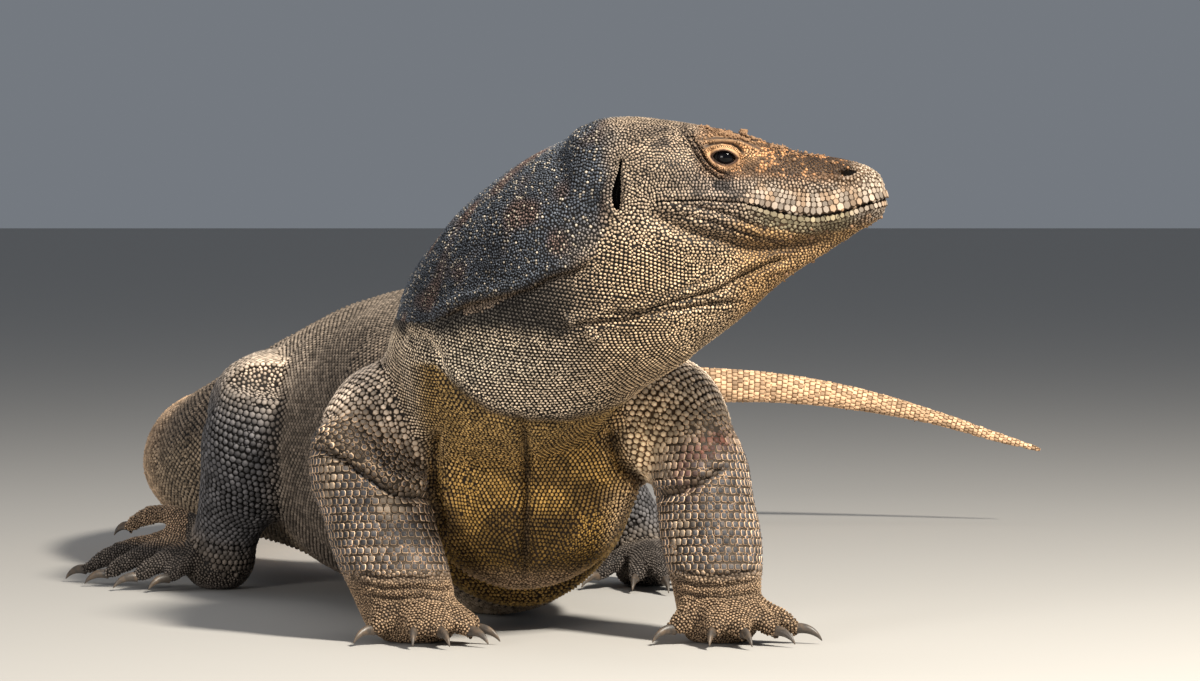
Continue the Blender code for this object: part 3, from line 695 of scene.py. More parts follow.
def with_eyelids(points, normals):
    """The skin round each eye follows a ball bigger than the eye by the lid's thickness.

    The lid is 1.2 mm thick below the eye's middle and 1.8 mm above it, and falls away inside its edge.
    """
    back, side, high = head_place(points)
    ring = eye_ring(back, high)
    outer = (np.abs(normals[:, 1]) > 0.25) & (ring < 2.6)
    reach = np.hypot(back - EYE_BACK, high - EYE_HEIGHT)
    thick = 0.0012 + 0.0006 * (high > EYE_HEIGHT)
    lid = EYE_OUT + np.sqrt(np.maximum((EYE_RADIUS + thick) ** 2 - reach**2, 0.0))
    out = np.abs(side)
    wanted = out + ramp(2.3, 1.3, ring) * np.maximum(lid - out, -0.004)
    wanted = np.where(ring < 1.0, EYE_OUT - 0.002 + 0.006 * ramp(0.85, 1.0, ring), wanted)
    points = points.copy()
    points[:, 1] = np.where(outer, SNOUT[1] + np.sign(side) * wanted, points[:, 1])
    return points


def along_tube(stations, upward, points):
    """Points in a tube's own terms: distance along it, turn about it, height over its surface, and across.

    The nearest of a row of centres gives the first distance, and two steps along the path make it exact.
    """
    length = distances(stations)[-1]
    at = np.linspace(0, length, max(8, round(length / 0.006)))
    centres = rows_at(stations, at)[:, :3]
    near = np.empty(len(points), int)
    for first in range(0, len(points), BLOCK):
        block = points[first : first + BLOCK]
        squares = (block**2).sum(1)[:, None] - 2 * block @ centres.T + (centres**2).sum(1)[None]
        near[first : first + BLOCK] = np.argmin(squares, axis=1)
    place = at[near]
    for _ in range(2):
        rows, ahead, up, across = path_frame(stations, place, upward)
        place = np.clip(place + ((points - rows[:, :3]) * ahead).sum(1), 0, length)
    rows, ahead, up, across = path_frame(stations, place, upward)
    offset = points - rows[:, :3]
    aside, over, beyond = (offset * across).sum(1), (offset * up).sum(1), (offset * ahead).sum(1)
    tall = np.where(over > 0, rows[:, 4], rows[:, 5])
    size = np.hypot(aside / rows[:, 3], over / tall)
    gap = np.hypot(aside, over) * (1 - 1 / np.maximum(size, 1e-6))
    gap = np.where(np.abs(beyond) > 1e-4, np.hypot(np.maximum(gap, 0), beyond), gap)
    return place, np.arctan2(over / tall, aside / rows[:, 3]), gap, aside[:, None] * across


def head_gap(points):
    """Height over the head's own surface, without brows: distance from its axis times 1 - 1 / size."""
    back, side, high = head_place(points)
    rows = np.array(HEAD)
    share = back / HEAD_LENGTH
    wide, crown, throat = (np.interp(share, rows[:, 0], rows[:, i]) for i in (1, 2, 3))
    tall, power = np.where(high > 0, crown, throat), np.where(high > 0, *HEAD_POWERS)
    size = (np.abs(side / wide) ** power + np.abs(high / tall) ** power) ** (1 / power)
    beyond = np.maximum(share - rows[-1, 0], rows[0, 0] - share).clip(0) * HEAD_LENGTH
    gap = (np.hypot(side, high) * (1 - 1 / np.maximum(size, 1e-6))).clip(-1)
    return np.hypot(gap, beyond) * np.where(size < 1, -1, 1)


FAR = 0.05  # height over a part at which a place has nothing to do with it


def tube_gap(stations, upward, points):
    """Height over a tube, worked out only for the points in the box round it."""
    rows = np.array(stations)
    reach = rows[:, 3:].max() + FAR
    near = ((points > rows[:, :3].min(0) - reach) & (points < rows[:, :3].max(0) + reach)).all(1)
    gap = np.full(len(points), 2 * FAR)
    gap[near] = along_tube(stations, upward, points[near])[2]
    return gap


def part_gaps(points):
    """Height of points over each part's own surface, by the part's name."""
    gaps = {"head": np.minimum(head_gap(points), tube_gap(THROAT, UP, points))}
    for name, (stations, upward) in {"neck": (NECK, UP), "trunk": (TRUNK, UP), **LIMBS}.items():
        gaps[name] = tube_gap(stations, upward, points)
    for foot, (root, palm, toes) in FEET.items():
        offset = points - (root - PALM_DROP)
        near = np.linalg.norm(offset / (palm, palm, PALM_TALL), axis=1)
        gap = np.linalg.norm(offset, axis=1) * (1 - 1 / near)
        for i in range(len(toes)):
            gap = np.minimum(gap, tube_gap(TOES[f"{foot}_toe_{i + 1}"], UP, points))
        gaps[foot] = gap
    return gaps


def closeness(gaps, *names, fade=0.006):
    """How much a point belongs to the named parts: 1 on their surface, falling with height over it."""
    own = np.min([gaps[name] for name in names], axis=0)
    rest = np.min([gap for name, gap in gaps.items() if name not in names], axis=0)
    return 1 / (1 + np.exp((own - rest) / fade))


def on_right(points):
    """Points with those on the neck's left side mirrored to its right side."""
    aside = along_tube(NECK, UP, points)[3]
    return points - 2 * aside * (aside[:, 1:2] > 0)


def body_relief(points, normals, gaps):
    """How far each point of neck, breast and legs stands out along its normal: folds and soft swellings."""
    places = on_right(points)[:, [0, 2]]
    neck = closeness(gaps, "neck", "head") * ramp(0.15, 0.5, np.abs(normals[:, 1]))
    relief = np.zeros(len(points))
    for fold in NECK_FOLDS:
        relief += neck * trench(places, *fold)
    relief += 0.0036 * (mottle(points, 0.040, 9) - 0.5) * (1 - closeness(gaps, "head", *FEET)) * (points[:, 1] < 0.5)
    front = ramp(0.0, 0.3, -normals[:, 1]) * (points[:, 1] < -0.2)
    for fold in FRONT_FOLDS:
        relief += front * trench(points[:, [0, 2]], *fold)
    return relief


def tail_in_place(points):
    """The thin end of the tail goes back to its own radius, which is finer than the cells."""
    length = distances(TRUNK)
    chosen = np.flatnonzero(points[:, 1] > 0.8)
    own = points[chosen]
    place, turn, _, _ = along_tube(TRUNK, UP, own)
    end = length[-1] - 0.004
    exact = tube_points(TRUNK, UP, np.minimum(place, end), turn[:, None], COAT, LEAST_TAIL)[:, 0]
    centres = rows_at(TRUNK, place)[:, :3]
    exact = np.where((place > end)[:, None], centres + (own - centres) * 0.25, exact)
    points = points.copy()
    points[chosen] = own + ramp(length[12], length[14], place)[:, None] * (exact - own)
    return points


def build_skin():
    """The fused lofts, with finer cells where there is detail, eyelids and relief."""
    mesh = modified(
        body_blank(),
        ("REMESH", {"mode": "VOXEL", "voxel_size": CELL}),
        ("SMOOTH", {"factor": 0.5, "iterations": 7}),
    )
    for region in (near_face, near_face, near_folds, near_folds):
        finer_where(mesh, region)
    points = points_of(mesh)
    points = eased(points, edges_of(mesh), 0.5 * (near_face(points) | near_folds(points)), 4)
    move_points(mesh, tail_in_place(points))
    finer_where(mesh, near_eyes)
    points, normals = points_of(mesh), normals_of(mesh)
    relief = head_relief(points, normals) + body_relief(points, normals, part_gaps(points))
    points = with_eyelids(points, normals) + normals * relief[:, None]
    points[:, 2] = np.maximum(points[:, 2], COAT)
    move_points(mesh, points)
    reworked(mesh, lambda shape: bmesh.ops.triangulate(shape, faces=shape.faces))
    return mesh


# ---------------------------------------------------------------- colour of the hide


def hide_colours(points, normals):
    """Colours of the scales' tops and of the ring round each top, and the dust, laid in soft patches by place."""
    gaps = part_gaps(points)
    back, _, high = head_place(points)
    x, y, z = points.T
    crown = np.tile([0.34, 0.26, 0.18], (len(points), 1))
    border = np.tile([0.17, 0.125, 0.085], (len(points), 1))

    def lay(amount, top, edge):
        """Moves the colours so far towards new ones of the tops and borders by an amount from 0 to 1."""
        nonlocal crown, border
        amount = np.clip(amount, 0, 1)[:, None]
        crown = crown + amount * (np.array(top) - crown)
        border = border + amount * (np.array(edge) - border)

    own = {name: closeness(gaps, name) for name in gaps}
    soft = {name: closeness(gaps, name, fade=0.014) for name in ("neck", "trunk", "head")}
    patches, spots = mottle(points, 0.022, 1), mottle(points, 0.008, 2)
    hind = sum(own[n] for n in ("right_thigh", "right_shank", "left_thigh", "left_shank"))
    back_of = own["trunk"] * ramp(-0.1, 0.4, normals[:, 2])
    lay(back_of, (0.20, 0.155, 0.118), (0.085, 0.064, 0.048))
    # Painted shade: the right flank behind the shoulder, between foreleg and hind leg, is darker.
    shade_behind_shoulder = own["trunk"] * (x < 0.0) * ramp(-0.15, -0.05, y) * ramp(0.2, 0.1, y)
    lay(shade_behind_shoulder, (0.17, 0.135, 0.105), (0.07, 0.054, 0.042))
    lay(hind, (0.118, 0.113, 0.118), (0.028, 0.027, 0.028))
    # Painted highlight: pale tan on the top of the right knee, where the light falls.
    knee = bell(x + 0.165, 0.045, y - 0.08, 0.09, z - 0.198, 0.028)
    lay(knee, (0.66, 0.53, 0.41), (0.27, 0.205, 0.150))
    tail = own["trunk"] * ramp(0.35, 0.6, y)
    lay(tail, (0.80, 0.53, 0.325), (0.68, 0.435, 0.260))
    # Neck: slate above the ridge with odd pale scales, tan below it, cream and painted light on the slack throat.
    neck, head = soft["neck"], soft["head"]
    lay(neck, (0.84, 0.67, 0.49), (0.120, 0.090, 0.064))
    # Painted shadow: the head's shadow as a dark band across the middle of the neck.
    shaded = ramp(0.1, 0.4, neck) * ramp(0.145, 0.09, x) * ramp(0.234, 0.246, z + 0.012 * (patches - 0.5))
    lay(shaded * 0.95, (0.042, 0.041, 0.041), (0.014, 0.014, 0.014))
    nape = on_nape(points) * ramp(0.10, 0.35, neck + head) * ramp(0.150, 0.115, x + 0.03 * (patches - 0.5))
    lay(nape, (0.086, 0.098, 0.120), (0.020, 0.022, 0.027))
    lay(nape * ramp(0.46, 0.80, patches) * 0.8, (0.160, 0.098, 0.076), (0.038, 0.026, 0.021))
    pale_ones = np.random.default_rng(3).uniform(0, 1, len(points))
    lay(nape * ramp(0.16, 0.04, pale_ones), (0.48, 0.42, 0.34), (0.12, 0.10, 0.082))
    lay(head * (1 - nape), (0.32, 0.24, 0.175), (0.100, 0.072, 0.052))
    lay((head + neck) * ramp(0.0, -0.05, high) * ramp(0.08, 0.15, x), (0.60, 0.435, 0.275), (0.13, 0.090, 0.054))
    # Pale throat skin, brightened to near white where the light falls: partly painted light.
    pale_and_lit_pouch = neck * bell(x - 0.03, 0.045, z - 0.218, 0.019)
    lay(pale_and_lit_pouch, (1.0, 0.86, 0.66), (0.20, 0.155, 0.112))
    # Below the bib: the breast's gold, darkened as painted shade under the bib's overhang.
    gold_and_shade_under_bib = ramp(0.003, -0.003, z - height_on(BIB, x)) * ramp(-0.03, -0.01, x) * (x < 0.15) * (y < -0.2)
    lay((neck + soft["trunk"]) * gold_and_shade_under_bib, (0.40, 0.26, 0.095), (0.16, 0.095, 0.038))
    chest = soft["trunk"] * ramp(-0.20, -0.27, y) * ramp(0.0, 0.4, -normals[:, 1])
    lay(chest, (0.68, 0.405, 0.110), (0.18, 0.098, 0.030))
    lay(chest * ramp(0.48, 0.66, patches) * 0.8, (0.15, 0.088, 0.030), (0.060, 0.034, 0.012))
    # Painted shade: the breast darker towards the floor, where the neck and head shade it.
    lay(chest * ramp(0.110, 0.05, z) * 0.95, (0.135, 0.078, 0.016), (0.040, 0.022, 0.005))
    flank = chest * ramp(0.115, 0.14, x) * ramp(0.13, 0.10, z)
    lay(flank, (0.58, 0.42, 0.26), (0.27, 0.18, 0.11))
    arms = own["right_upper_arm"] + own["left_upper_arm"]
    lay(arms, (0.84, 0.68, 0.54), (0.110, 0.082, 0.060))
    lay(arms * ramp(-0.24, -0.20, y) * 0.7, (0.22, 0.17, 0.13), (0.10, 0.075, 0.055))
    fore = own["right_forearm"] + own["left_forearm"]
    lay(fore, (0.052, 0.053, 0.060), (0.84, 0.60, 0.40))
    lay(fore * ramp(0.62, 0.85, patches) * 0.7, (0.28, 0.22, 0.165), (0.52, 0.375, 0.245))
    # Painted light: the inner face of the left upper arm, made paler where the light falls.
    inner = own["left_upper_arm"] * bell(x - 0.160, 0.045, z - 0.145, 0.055)
    lay(inner, (1.0, 0.76, 0.48), (0.50, 0.33, 0.18))
    stain = bell(x - 0.205, 0.026, z - 0.150 - 0.3 * (x - 0.2), 0.010) * (y < -0.25)
    stain = np.maximum(stain, 0.8 * bell(x - 0.186, 0.010, z - 0.128, 0.016) * (y < -0.25))
    lay(stain * (0.5 + 0.5 * ramp(0.3, 0.6, spots)), (0.110, 0.036, 0.022), (0.060, 0.016, 0.010))
    hands, hind_feet = own["right_hand"] + own["left_hand"], own["right_foot"] + own["left_foot"]
    lay(hind_feet, (0.110, 0.093, 0.082), (0.056, 0.046, 0.040))
    raised = hind_feet * ramp(0.034, 0.044, z) * (x < -0.24)
    lay(raised, (0.42, 0.29, 0.19), (0.22, 0.145, 0.090))
    dusty = np.clip(hands + ramp(0.060, 0.04, z) * (y < -0.25), 0, 1)
    lay(dusty * 0.95, (0.33, 0.225, 0.140), (0.105, 0.066, 0.038))
    # Face: pale lips, dust on the snout, grey cheek, pale lids, painted shade in the creases and openings.
    flat = np.stack([back, high], -1)
    gap, share = line_place(flat, MOUTH)
    lip_line = height_on(MOUTH, back)
    front = ramp(0.118, 0.088, back)
    face = own["head"]
    cheek = face * bell(back - 0.130, 0.034, high - 0.012, 0.012)
    lay(cheek * 0.85, (0.24, 0.19, 0.16), (0.10, 0.080, 0.068))
    lay(cheek * ramp(0.38, 0.54, spots), (0.060, 0.052, 0.050), (0.026, 0.022, 0.021))
    temple = face * bell(back - 0.165, 0.030, high - 0.046, 0.022)
    lay(temple * ramp(0.42, 0.62, spots) * 0.9, (0.100, 0.078, 0.064), (0.042, 0.032, 0.027))
    snout = face * ramp(0.012, 0.024, high + 0.05 * (0.06 - back)) * ramp(0.150, 0.120, back)
    lay(snout * 0.95, (0.43, 0.220, 0.102), (0.39, 0.18, 0.070))
    lay(snout * ramp(0.58, 0.8, patches) * 0.6, (0.36, 0.19, 0.09), (0.34, 0.175, 0.078))
    dark_ones = np.random.default_rng(4).uniform(0, 1, len(points)) < 0.46 + 0.5 * ramp(0.38, 0.52, spots)
    lay(snout * dark_ones * 0.95, (0.020, 0.016, 0.015), (0.034, 0.023, 0.017))
    lips = face * front * ramp(0.027, 0.015, gap - 0.010 * ramp(0.055, 0.0, back))
    lay(lips, (0.335, 0.275, 0.222), (0.115, 0.083, 0.060))
    lay(lips * ramp(0.55, 0.72, spots) * 0.8, (0.30, 0.195, 0.120), (0.12, 0.075, 0.044))
    tip = face * ramp(0.034, 0.016, back) * ramp(0.004, 0.012, high)
    lay(tip * 0.75, (0.43, 0.345, 0.265), (0.24, 0.185, 0.135))
    lower = lips * (high < lip_line) * ramp(0.018, 0.035, back)
    lay(lower, (0.225, 0.188, 0.120), (0.12, 0.098, 0.058))
    chin = face * (high < lip_line) * ramp(0.011, 0.016, gap) * ramp(0.13, 0.10, back)
    lay(chin * 0.85, (0.46, 0.28, 0.12), (0.17, 0.090, 0.035))
    outer = np.abs(normals[:, 1]) > 0.2
    ring = eye_ring(back, high)
    lids = face * outer * bell(np.maximum(ring - np.where(high > EYE_HEIGHT, 1.75, 1.5), 0), 0.35)
    brow = bell(back - EYE_BACK + 0.006, 0.022, high - EYE_HEIGHT - 0.0135, 0.0040)
    before = bell(back - EYE_BACK + 0.019, 0.008, high - EYE_HEIGHT - 0.003, 0.006)
    pale = np.maximum(lids, face * outer * np.maximum(brow, 0.8 * before))
    lay(pale, (0.60, 0.36, 0.19), (0.36, 0.19, 0.085))
    lay(pale * (high < EYE_HEIGHT - 0.002) * 0.6, (0.40, 0.225, 0.125), (0.24, 0.13, 0.07))
    lay(face * outer * ramp(1.34, 1.20, ring), (0.075, 0.038, 0.026), (0.05, 0.03, 0.02))
    # Painted shade in the creases of the folds round the eye, over it and behind the mouth.
    for line in (*EYE_FOLDS, *LID_FOLDS, *JAW_FOLDS):
        gap_to, _ = line_place(flat, line)
        lay(face * outer * bell(gap_to, 0.0013), (0.05, 0.034, 0.026), (0.02, 0.014, 0.011))
    # Painted shadow in the groove under the roll of the lower jaw.
    gap_to, along = line_place(flat, JAW_ROLL)
    fade = ramp(0, 0.2, along) * ramp(1.0, 0.8, along)
    lay(0.8 * fade * face * outer * bell(gap_to, 0.0060), (0.15, 0.090, 0.045), (0.05, 0.030, 0.018))
    # Painted shade in the folds of the throat, breast and forelegs.
    throat, front = 0.8 * (neck + head) * (normals[:, 1] < -0.2), 0.75 * (normals[:, 1] < -0.1) * (y < -0.2)
    for folds, amount in ((NECK_FOLDS[:4], throat), (FRONT_FOLDS, front)):
        for line, width, *_ in folds:
            gap_to, along = line_place(points[:, [0, 2]], line)
            groove = amount * ramp(0, 0.2, along) * ramp(1.0, 0.8, along) * bell(gap_to, width)
            lay(groove, (0.10, 0.070, 0.045), (0.034, 0.024, 0.015))
    # Painted shade: the eyes' openings, the ears' slits, the nostrils and the mouth's line are almost black.
    shaded_openings = (ring < 1.02) | (ear_ring(back, high) < 1.0) | (nostril_ring(back, high) < 1.0)
    shaded_openings |= (gap < 0.0007) & (share < 0.98)
    shaded_openings = (shaded_openings & outer & (face > 0.4)) * 1.0
    lay(shaded_openings, (0.006, 0.004, 0.003), (0.006, 0.004, 0.003))
    mud = snout * (1 - np.clip(pale, 0, 1)) * ramp(0.30, 0.60, patches)
    # Dust in the gaps; the share of the left upper arm's inner face lightens its gaps as painted light.
    dust = 0.40 * mud + 0.12 * chin + 0.10 * dusty + 0.14 * lips + 0.06 * chest + 0.6 * tail + 0.3 * inner
    dust = np.clip(dust, 0, 1) * (1 - shaded_openings)
    return crown, border, dust


# ---------------------------------------------------------------- scales

# Shapes of scales: the corners; the rings of the profile, each as its share of the half width, its height and what
# the markings see as the edge; length over the rows' spacing; size over its room; height over size; slope along
# its way; turn from the row; and whether it is shaded smooth.
Shape = namedtuple("Shape", "corners rings meet fill tall lean loose smooth")
BASE = (1.0, -0.20, 1.0)
SHAPES = {
    "bead": Shape(6, (BASE, (0.78, 0.60, 0.76)), 1.16, 0.89, 0.50, 0.08, 0.06, True),
    "grain": Shape(5, (BASE, (0.82, 0.66, 0.74)), 4 / 3, 0.98, 0.31, 0.0, 0.12, True),
    "shield": Shape(6, (BASE, (0.91, 0.64, 0.88), (0.76, 0.95, 0.50)), 4 / 3, 1.02, 0.12, 0.0, 0.04, False),
    "tile": Shape(8, (BASE, (0.88, 0.76, 0.60)), 0.93, 0.92, 0.24, 0.06, 0.05, True),
    "plate": Shape(4, (BASE, (0.84, 0.74, 0.66)), 0.98, 0.99, 0.16, 0.06, 0.03, True),
    "knob": Shape(6, (BASE, (0.80, 0.68, 0.66)), 4 / 3, 1.04, 0.34, -0.12, 0.06, True),
    "pebble": Shape(6, ((1.0, -0.25, 1.0),), 4 / 3, 1.0, 0.34, 0.05, 0.09, True),
}
PATCH = 0.003  # width of a scale's patch on the unwrap
ROW = 0.88  # distance between rows of the face's scales, over their width
# Scales beside the mouth: row spacing far from it, what the lip adds to it and how fast that fades, and the bare
# edge of the lip.
FACE_PITCH = 0.0026
UPPER_LIP = (0.0050, 0.0086)
LOWER_LIP = (0.0030, 0.0045)
LIP_EDGE = 0.0005
EYE_PITCH, EAR_PITCH, NOSE_PITCH = 0.0016, 0.0025, 0.0030  # of the rows that ring them
EYE_SPAN, NOSE_SPAN = 0.0062, 0.0042  # distance in which the size of their rings grows by one
EAR_RIM = 0.0025
NO_ROWS = 30  # a row number too high to be the least
SOFT = 0.9  # how many rows wide the turn from one feature's rows to the next is
FINEST_SCALE = 0.0015  # at the eyes
SHIELD_LENGTH = 0.0034  # longer scales of the face are shields


def shape_points(corners, rings):
    """A scale one unit wide and tall: rings of its outline, closed above by its middle and below by a flat.

    Eight corners, moved out to the root of their sines, give a rounded square.
    """
    turn = (np.arange(corners) + 0.5) * ROUND / corners
    outline = np.stack([np.cos(turn), np.sin(turn)], -1)
    if corners == 8:
        outline = np.sign(outline) * np.sqrt(np.abs(outline))
    outline = outline / np.abs(outline).max(axis=0) * 0.5
    points = [np.column_stack([outline * share, np.full(corners, height)]) for share, height, _ in rings]
    points = np.concatenate([*points, [[0, 0, 1]]])
    edge = np.concatenate([np.full(corners, mark) for _, _, mark in rings] + [[0.0]])
    faces, j = [], np.arange(corners)
    k = (j + 1) % corners
    for ring in range(len(rings) - 1):
        low, high = ring * corners, (ring + 1) * corners
        faces += [np.stack([low + j, low + k, high + k], -1), np.stack([low + j, high + k, high + j], -1)]
    last = (len(rings) - 1) * corners
    faces.append(np.stack([last + j, last + k, np.full(corners, len(points) - 1)], -1))
    flat = np.arange(1, corners - 1)
    faces.append(np.stack([np.zeros(corners - 2, int), flat + 1, flat], -1))
    return points, np.concatenate(faces), edge


def ring_roots(stations, upward, pitch, step, anchor=0.5, first=0.0, slant=0.0):
    """Roots in rings round a tube: rows a step apart, each row a half scale on from the one before.

    The number in a row stays the same until the scales would be 7 % too wide or too narrow. With a slant, a
    ring lies slant * radius * arcsin(sin(turn)) further back, so that on both sides it runs down and forward.
    """
    length = distances(stations)[-1]
    radius = np.array(stations)[1:-1, 3].mean()
    lean = math.hypot(1, slant)
    at, starts = first - slant * radius * math.pi / 2, []
    while at < length + slant * radius * math.pi / 2:
        starts.append(at)
        at += lean * (step(at / length) if callable(step) else step)
    starts = np.array(starts)
    turn = np.linspace(0, ROUND, 181) + anchor * ROUND

    def on_tube(start, turns):
        """Places at turns of the rings with these starts, and how far along the tube they are."""
        along = start - slant * radius * np.arcsin(np.sin(turns))
        at = np.clip(along.ravel(), 0, length)
        return tube_points(stations, upward, at, turns.reshape(-1, 1), COAT, LEAST_TAIL).reshape(*turns.shape, 3), along

    rings, _ = on_tube(starts[:, None], np.broadcast_to(turn, (len(starts), len(turn))))
    arcs = np.cumsum(np.linalg.norm(np.diff(rings, axis=1), axis=2), axis=1)
    arcs = np.concatenate([np.zeros((len(rings), 1)), arcs], axis=1)
    points, ways, sizes, count = [], [], [], 0
    for row, (start, arc) in enumerate(zip(starts, arcs)):
        wide = pitch(start / length) if callable(pitch) else pitch
        if not count or abs(arc[-1] / count / wide - 1) > 0.07:
            count = max(4, round(arc[-1] / wide))
        turns = np.interp((np.arange(count) + 0.5 * (row % 2)) / count * arc[-1], arc, turn)
        spots, along = on_tube(start, turns)
        ahead_spots, _ = on_tube(start + 0.001, turns)
        inside = (along >= 0) & (along <= length)
        points.append(spots[inside])
        next_spots, _ = on_tube(start, turns + 0.01)
        row_way = unit(next_spots - spots)
        way = ahead_spots - spots
        ways.append(unit(way - (way * row_way).sum(1)[:, None] * row_way)[inside])
        sizes.append(np.full(inside.sum(), arc[-1] / count))
    return tuple(np.concatenate(part) for part in (points, ways, sizes))


def lip_rows(back, high, gap):
    """Spacing of the rows at a distance from the mouth, a + b exp(-d / c), and the rows that fit up to there.

    The count is the whole of 1 / spacing from 0 to d: (d + c ln(spacing / (a + b))) / a.
    """
    upper = high > height_on(MOUTH, back)
    added = FACE_PITCH * 0.05 + ramp(0.125, 0.080, back) * np.where(upper, UPPER_LIP[0], LOWER_LIP[0])
    fading = np.where(upper, UPPER_LIP[1], LOWER_LIP[1])
    clear = np.maximum(gap - LIP_EDGE, 0)
    pitch = FACE_PITCH + added * np.exp(-clear / fading)
    return pitch, (clear + fading * np.log(pitch / (FACE_PITCH + added))) / FACE_PITCH


def face_rows(points):
    """Row number of each place on the head: rows run beside the mouth, and ring the eyes, ears and nostrils.

    Each feature gives distance over the scales' pitch; the rows follow their smooth least,
    -SOFT * ln(sum of exp(-number / SOFT)).
    """
    back, side, high = head_place(points)
    flat = np.stack([back, high], -1)
    gap, _ = line_place(flat, MOUTH)
    out = np.abs(side)
    wide = np.interp(back / HEAD_LENGTH, *np.array(HEAD).T[:2])
    gap = gap + 0.75 * np.maximum(wide * 0.95 - out, 0) * (high > 0.01)
    gap = gap + 0.6 * np.maximum(wide * 0.8 - out, 0) * (high < -0.01)
    _, mouth = lip_rows(back, high, gap)
    inner = NO_ROWS * (out < wide * 0.55)
    eye = np.maximum(eye_ring(back, high) - 1, 0) * EYE_SPAN / EYE_PITCH + 0.5 + inner
    ear_gap, _ = line_place(flat, EAR)
    ear = np.maximum(ear_gap - EAR_RIM, 0) / EAR_PITCH + 0.5 + inner
    nose = np.maximum(nostril_ring(back, high) - 1.1, 0) * NOSE_SPAN / NOSE_PITCH + 0.6 + NO_ROWS * (out < 0.010)
    every = np.minimum([mouth, eye, ear, nose], 60)
    return -SOFT * np.log(np.exp(-every / SOFT).sum(axis=0)) / ROW


def face_sizes(points):
    """Width and length of a scale at each place on the head: long shallow ones on the jaw, fine ones by the eye."""
    back, _, high = head_place(points)
    gap, _ = line_place(np.stack([back, high], -1), MOUTH)
    row = lip_rows(back, high, gap)[0]
    wide = row * (1 - 0.18 * ramp(0.003, 0.0055, row)) * (0.86 + 0.28 * mottle(points, 0.008, 8))
    jaw = ramp(0.0, -0.004, high - height_on(MOUTH, back)) * ramp(0.045, 0.075, back)
    wide = wide * (1 + 0.45 * jaw * ramp(-0.045, -0.030, high)) + 0.0004 * ramp(-0.03, -0.07, high)
    near = bell(np.maximum(eye_ring(back, high) - 1.6, 0), 0.9)
    return wide + near * (FINEST_SCALE - wide), row + near * (FINEST_SCALE - row)


def level_lines(points, triangles, values, level):
    """The lines on a mesh where the value equals the level, each as points in order."""
    sides = values[triangles] > level
    crossed = np.flatnonzero(sides.any(1) & ~sides.all(1))
    if not len(crossed):
        return []
    links, place = {}, {}
    for triangle, above in zip(triangles[crossed].tolist(), sides[crossed].tolist()):
        ends = []
        for a, b in ((0, 1), (1, 2), (2, 0)):
            if above[a] != above[b]:
                key = (min(triangle[a], triangle[b]), max(triangle[a], triangle[b]))
                ends.append(key)
                if key not in place:
                    i, j = key
                    t = (level - values[i]) / (values[j] - values[i])
                    place[key] = points[i] + t * (points[j] - points[i])
        links.setdefault(ends[0], []).append(ends[1])
        links.setdefault(ends[1], []).append(ends[0])
    lines, seen = [], set()
    starts = [key for key, others in links.items() if len(others) == 1] + list(links)
    for start in starts:
        if start in seen:
            continue
        line, key = [], start
        while key is not None:
            seen.add(key)
            line.append(place[key])
            key = next((other for other in links[key] if other not in seen), None)
        lines.append(np.array(line))
    return lines


def roots_in_rows(points, triangles, values, width, stagger, anchor):
    """Roots along the lines where the value is a whole number and 0.55, and the ways of the lines there.

    Each row starts a share of a scale on from the one before, counted from the place where anchor is least.
    A closed line is cut where anchor is greatest.
    """
    roots, ways = [], []
    for row in range(int(values.max()) + 1):
        for line in level_lines(points, triangles, values, row + 0.55):
            if len(line) < 3:
                continue
            if np.linalg.norm(line[0] - line[-1]) < 0.003:
                line = np.roll(line, -np.argmax(anchor(line)), axis=0)
                line = np.concatenate([line, line[:1]])
            steps = np.linalg.norm(np.diff(line, axis=0), axis=1)
            count = np.concatenate([[0], np.cumsum(steps / width((line[1:] + line[:-1]) / 2))])
            if count[-1] < 0.6:
                continue
            phase = (count[np.argmin(anchor(line))] + stagger * row) % 1
            at = np.arange(phase, count[-1], 1.0)
            spots = [np.stack([np.interp(at + on, count, line[:, i]) for i in range(3)], -1) for on in (-0.2, 0, 0.2)]
            roots.append(spots[1])
            ways.append(unit(spots[2] - spots[0]))
    return np.concatenate(roots), np.concatenate(ways)


class Skin:
    """The finished skin as something to settle roots on."""

    def __init__(self, mesh):
        self.points, self.normals, self.triangles = points_of(mesh), normals_of(mesh), triangles_of(mesh)
        self.tree = BVHTree.FromPolygons(self.points.tolist(), self.triangles.tolist())
        self.gaps = part_gaps(self.points)
        self.nearest = np.min(list(self.gaps.values()), axis=0)

    def settled(self, places):
        """Nearest places on the skin, smooth normals there, how far away each was and a corner of its triangle."""
        hits = [self.tree.find_nearest(place) for place in places.tolist()]
        found = np.array([tuple(hit[0]) for hit in hits])
        away = np.array([hit[3] for hit in hits])
        faces = np.array([hit[2] for hit in hits])
        return found, self.smooth(found, faces), away, self.triangles[faces, 0]

    def owns(self, name, corners, slack):
        """True at corners no further from the named part's surface than from another's, with some slack."""
        return self.gaps[name][corners] < self.nearest[corners] + slack

    def smooth(self, found, faces):
        """Normals at places in faces, mixed from the faces' corners by area."""
        a, b, c = (self.points[self.triangles[faces][:, i]] for i in range(3))
        whole = np.cross(b - a, c - a)
        size = np.maximum((whole**2).sum(1), 1e-18)
        u = (np.cross(c - b, found - b) * whole).sum(1) / size
        v = (np.cross(a - c, found - c) * whole).sum(1) / size
        w = 1 - u - v
        mixed = sum(share[:, None] * self.normals[self.triangles[faces][:, i]] for i, share in enumerate((u, v, w)))
        return unit(mixed)


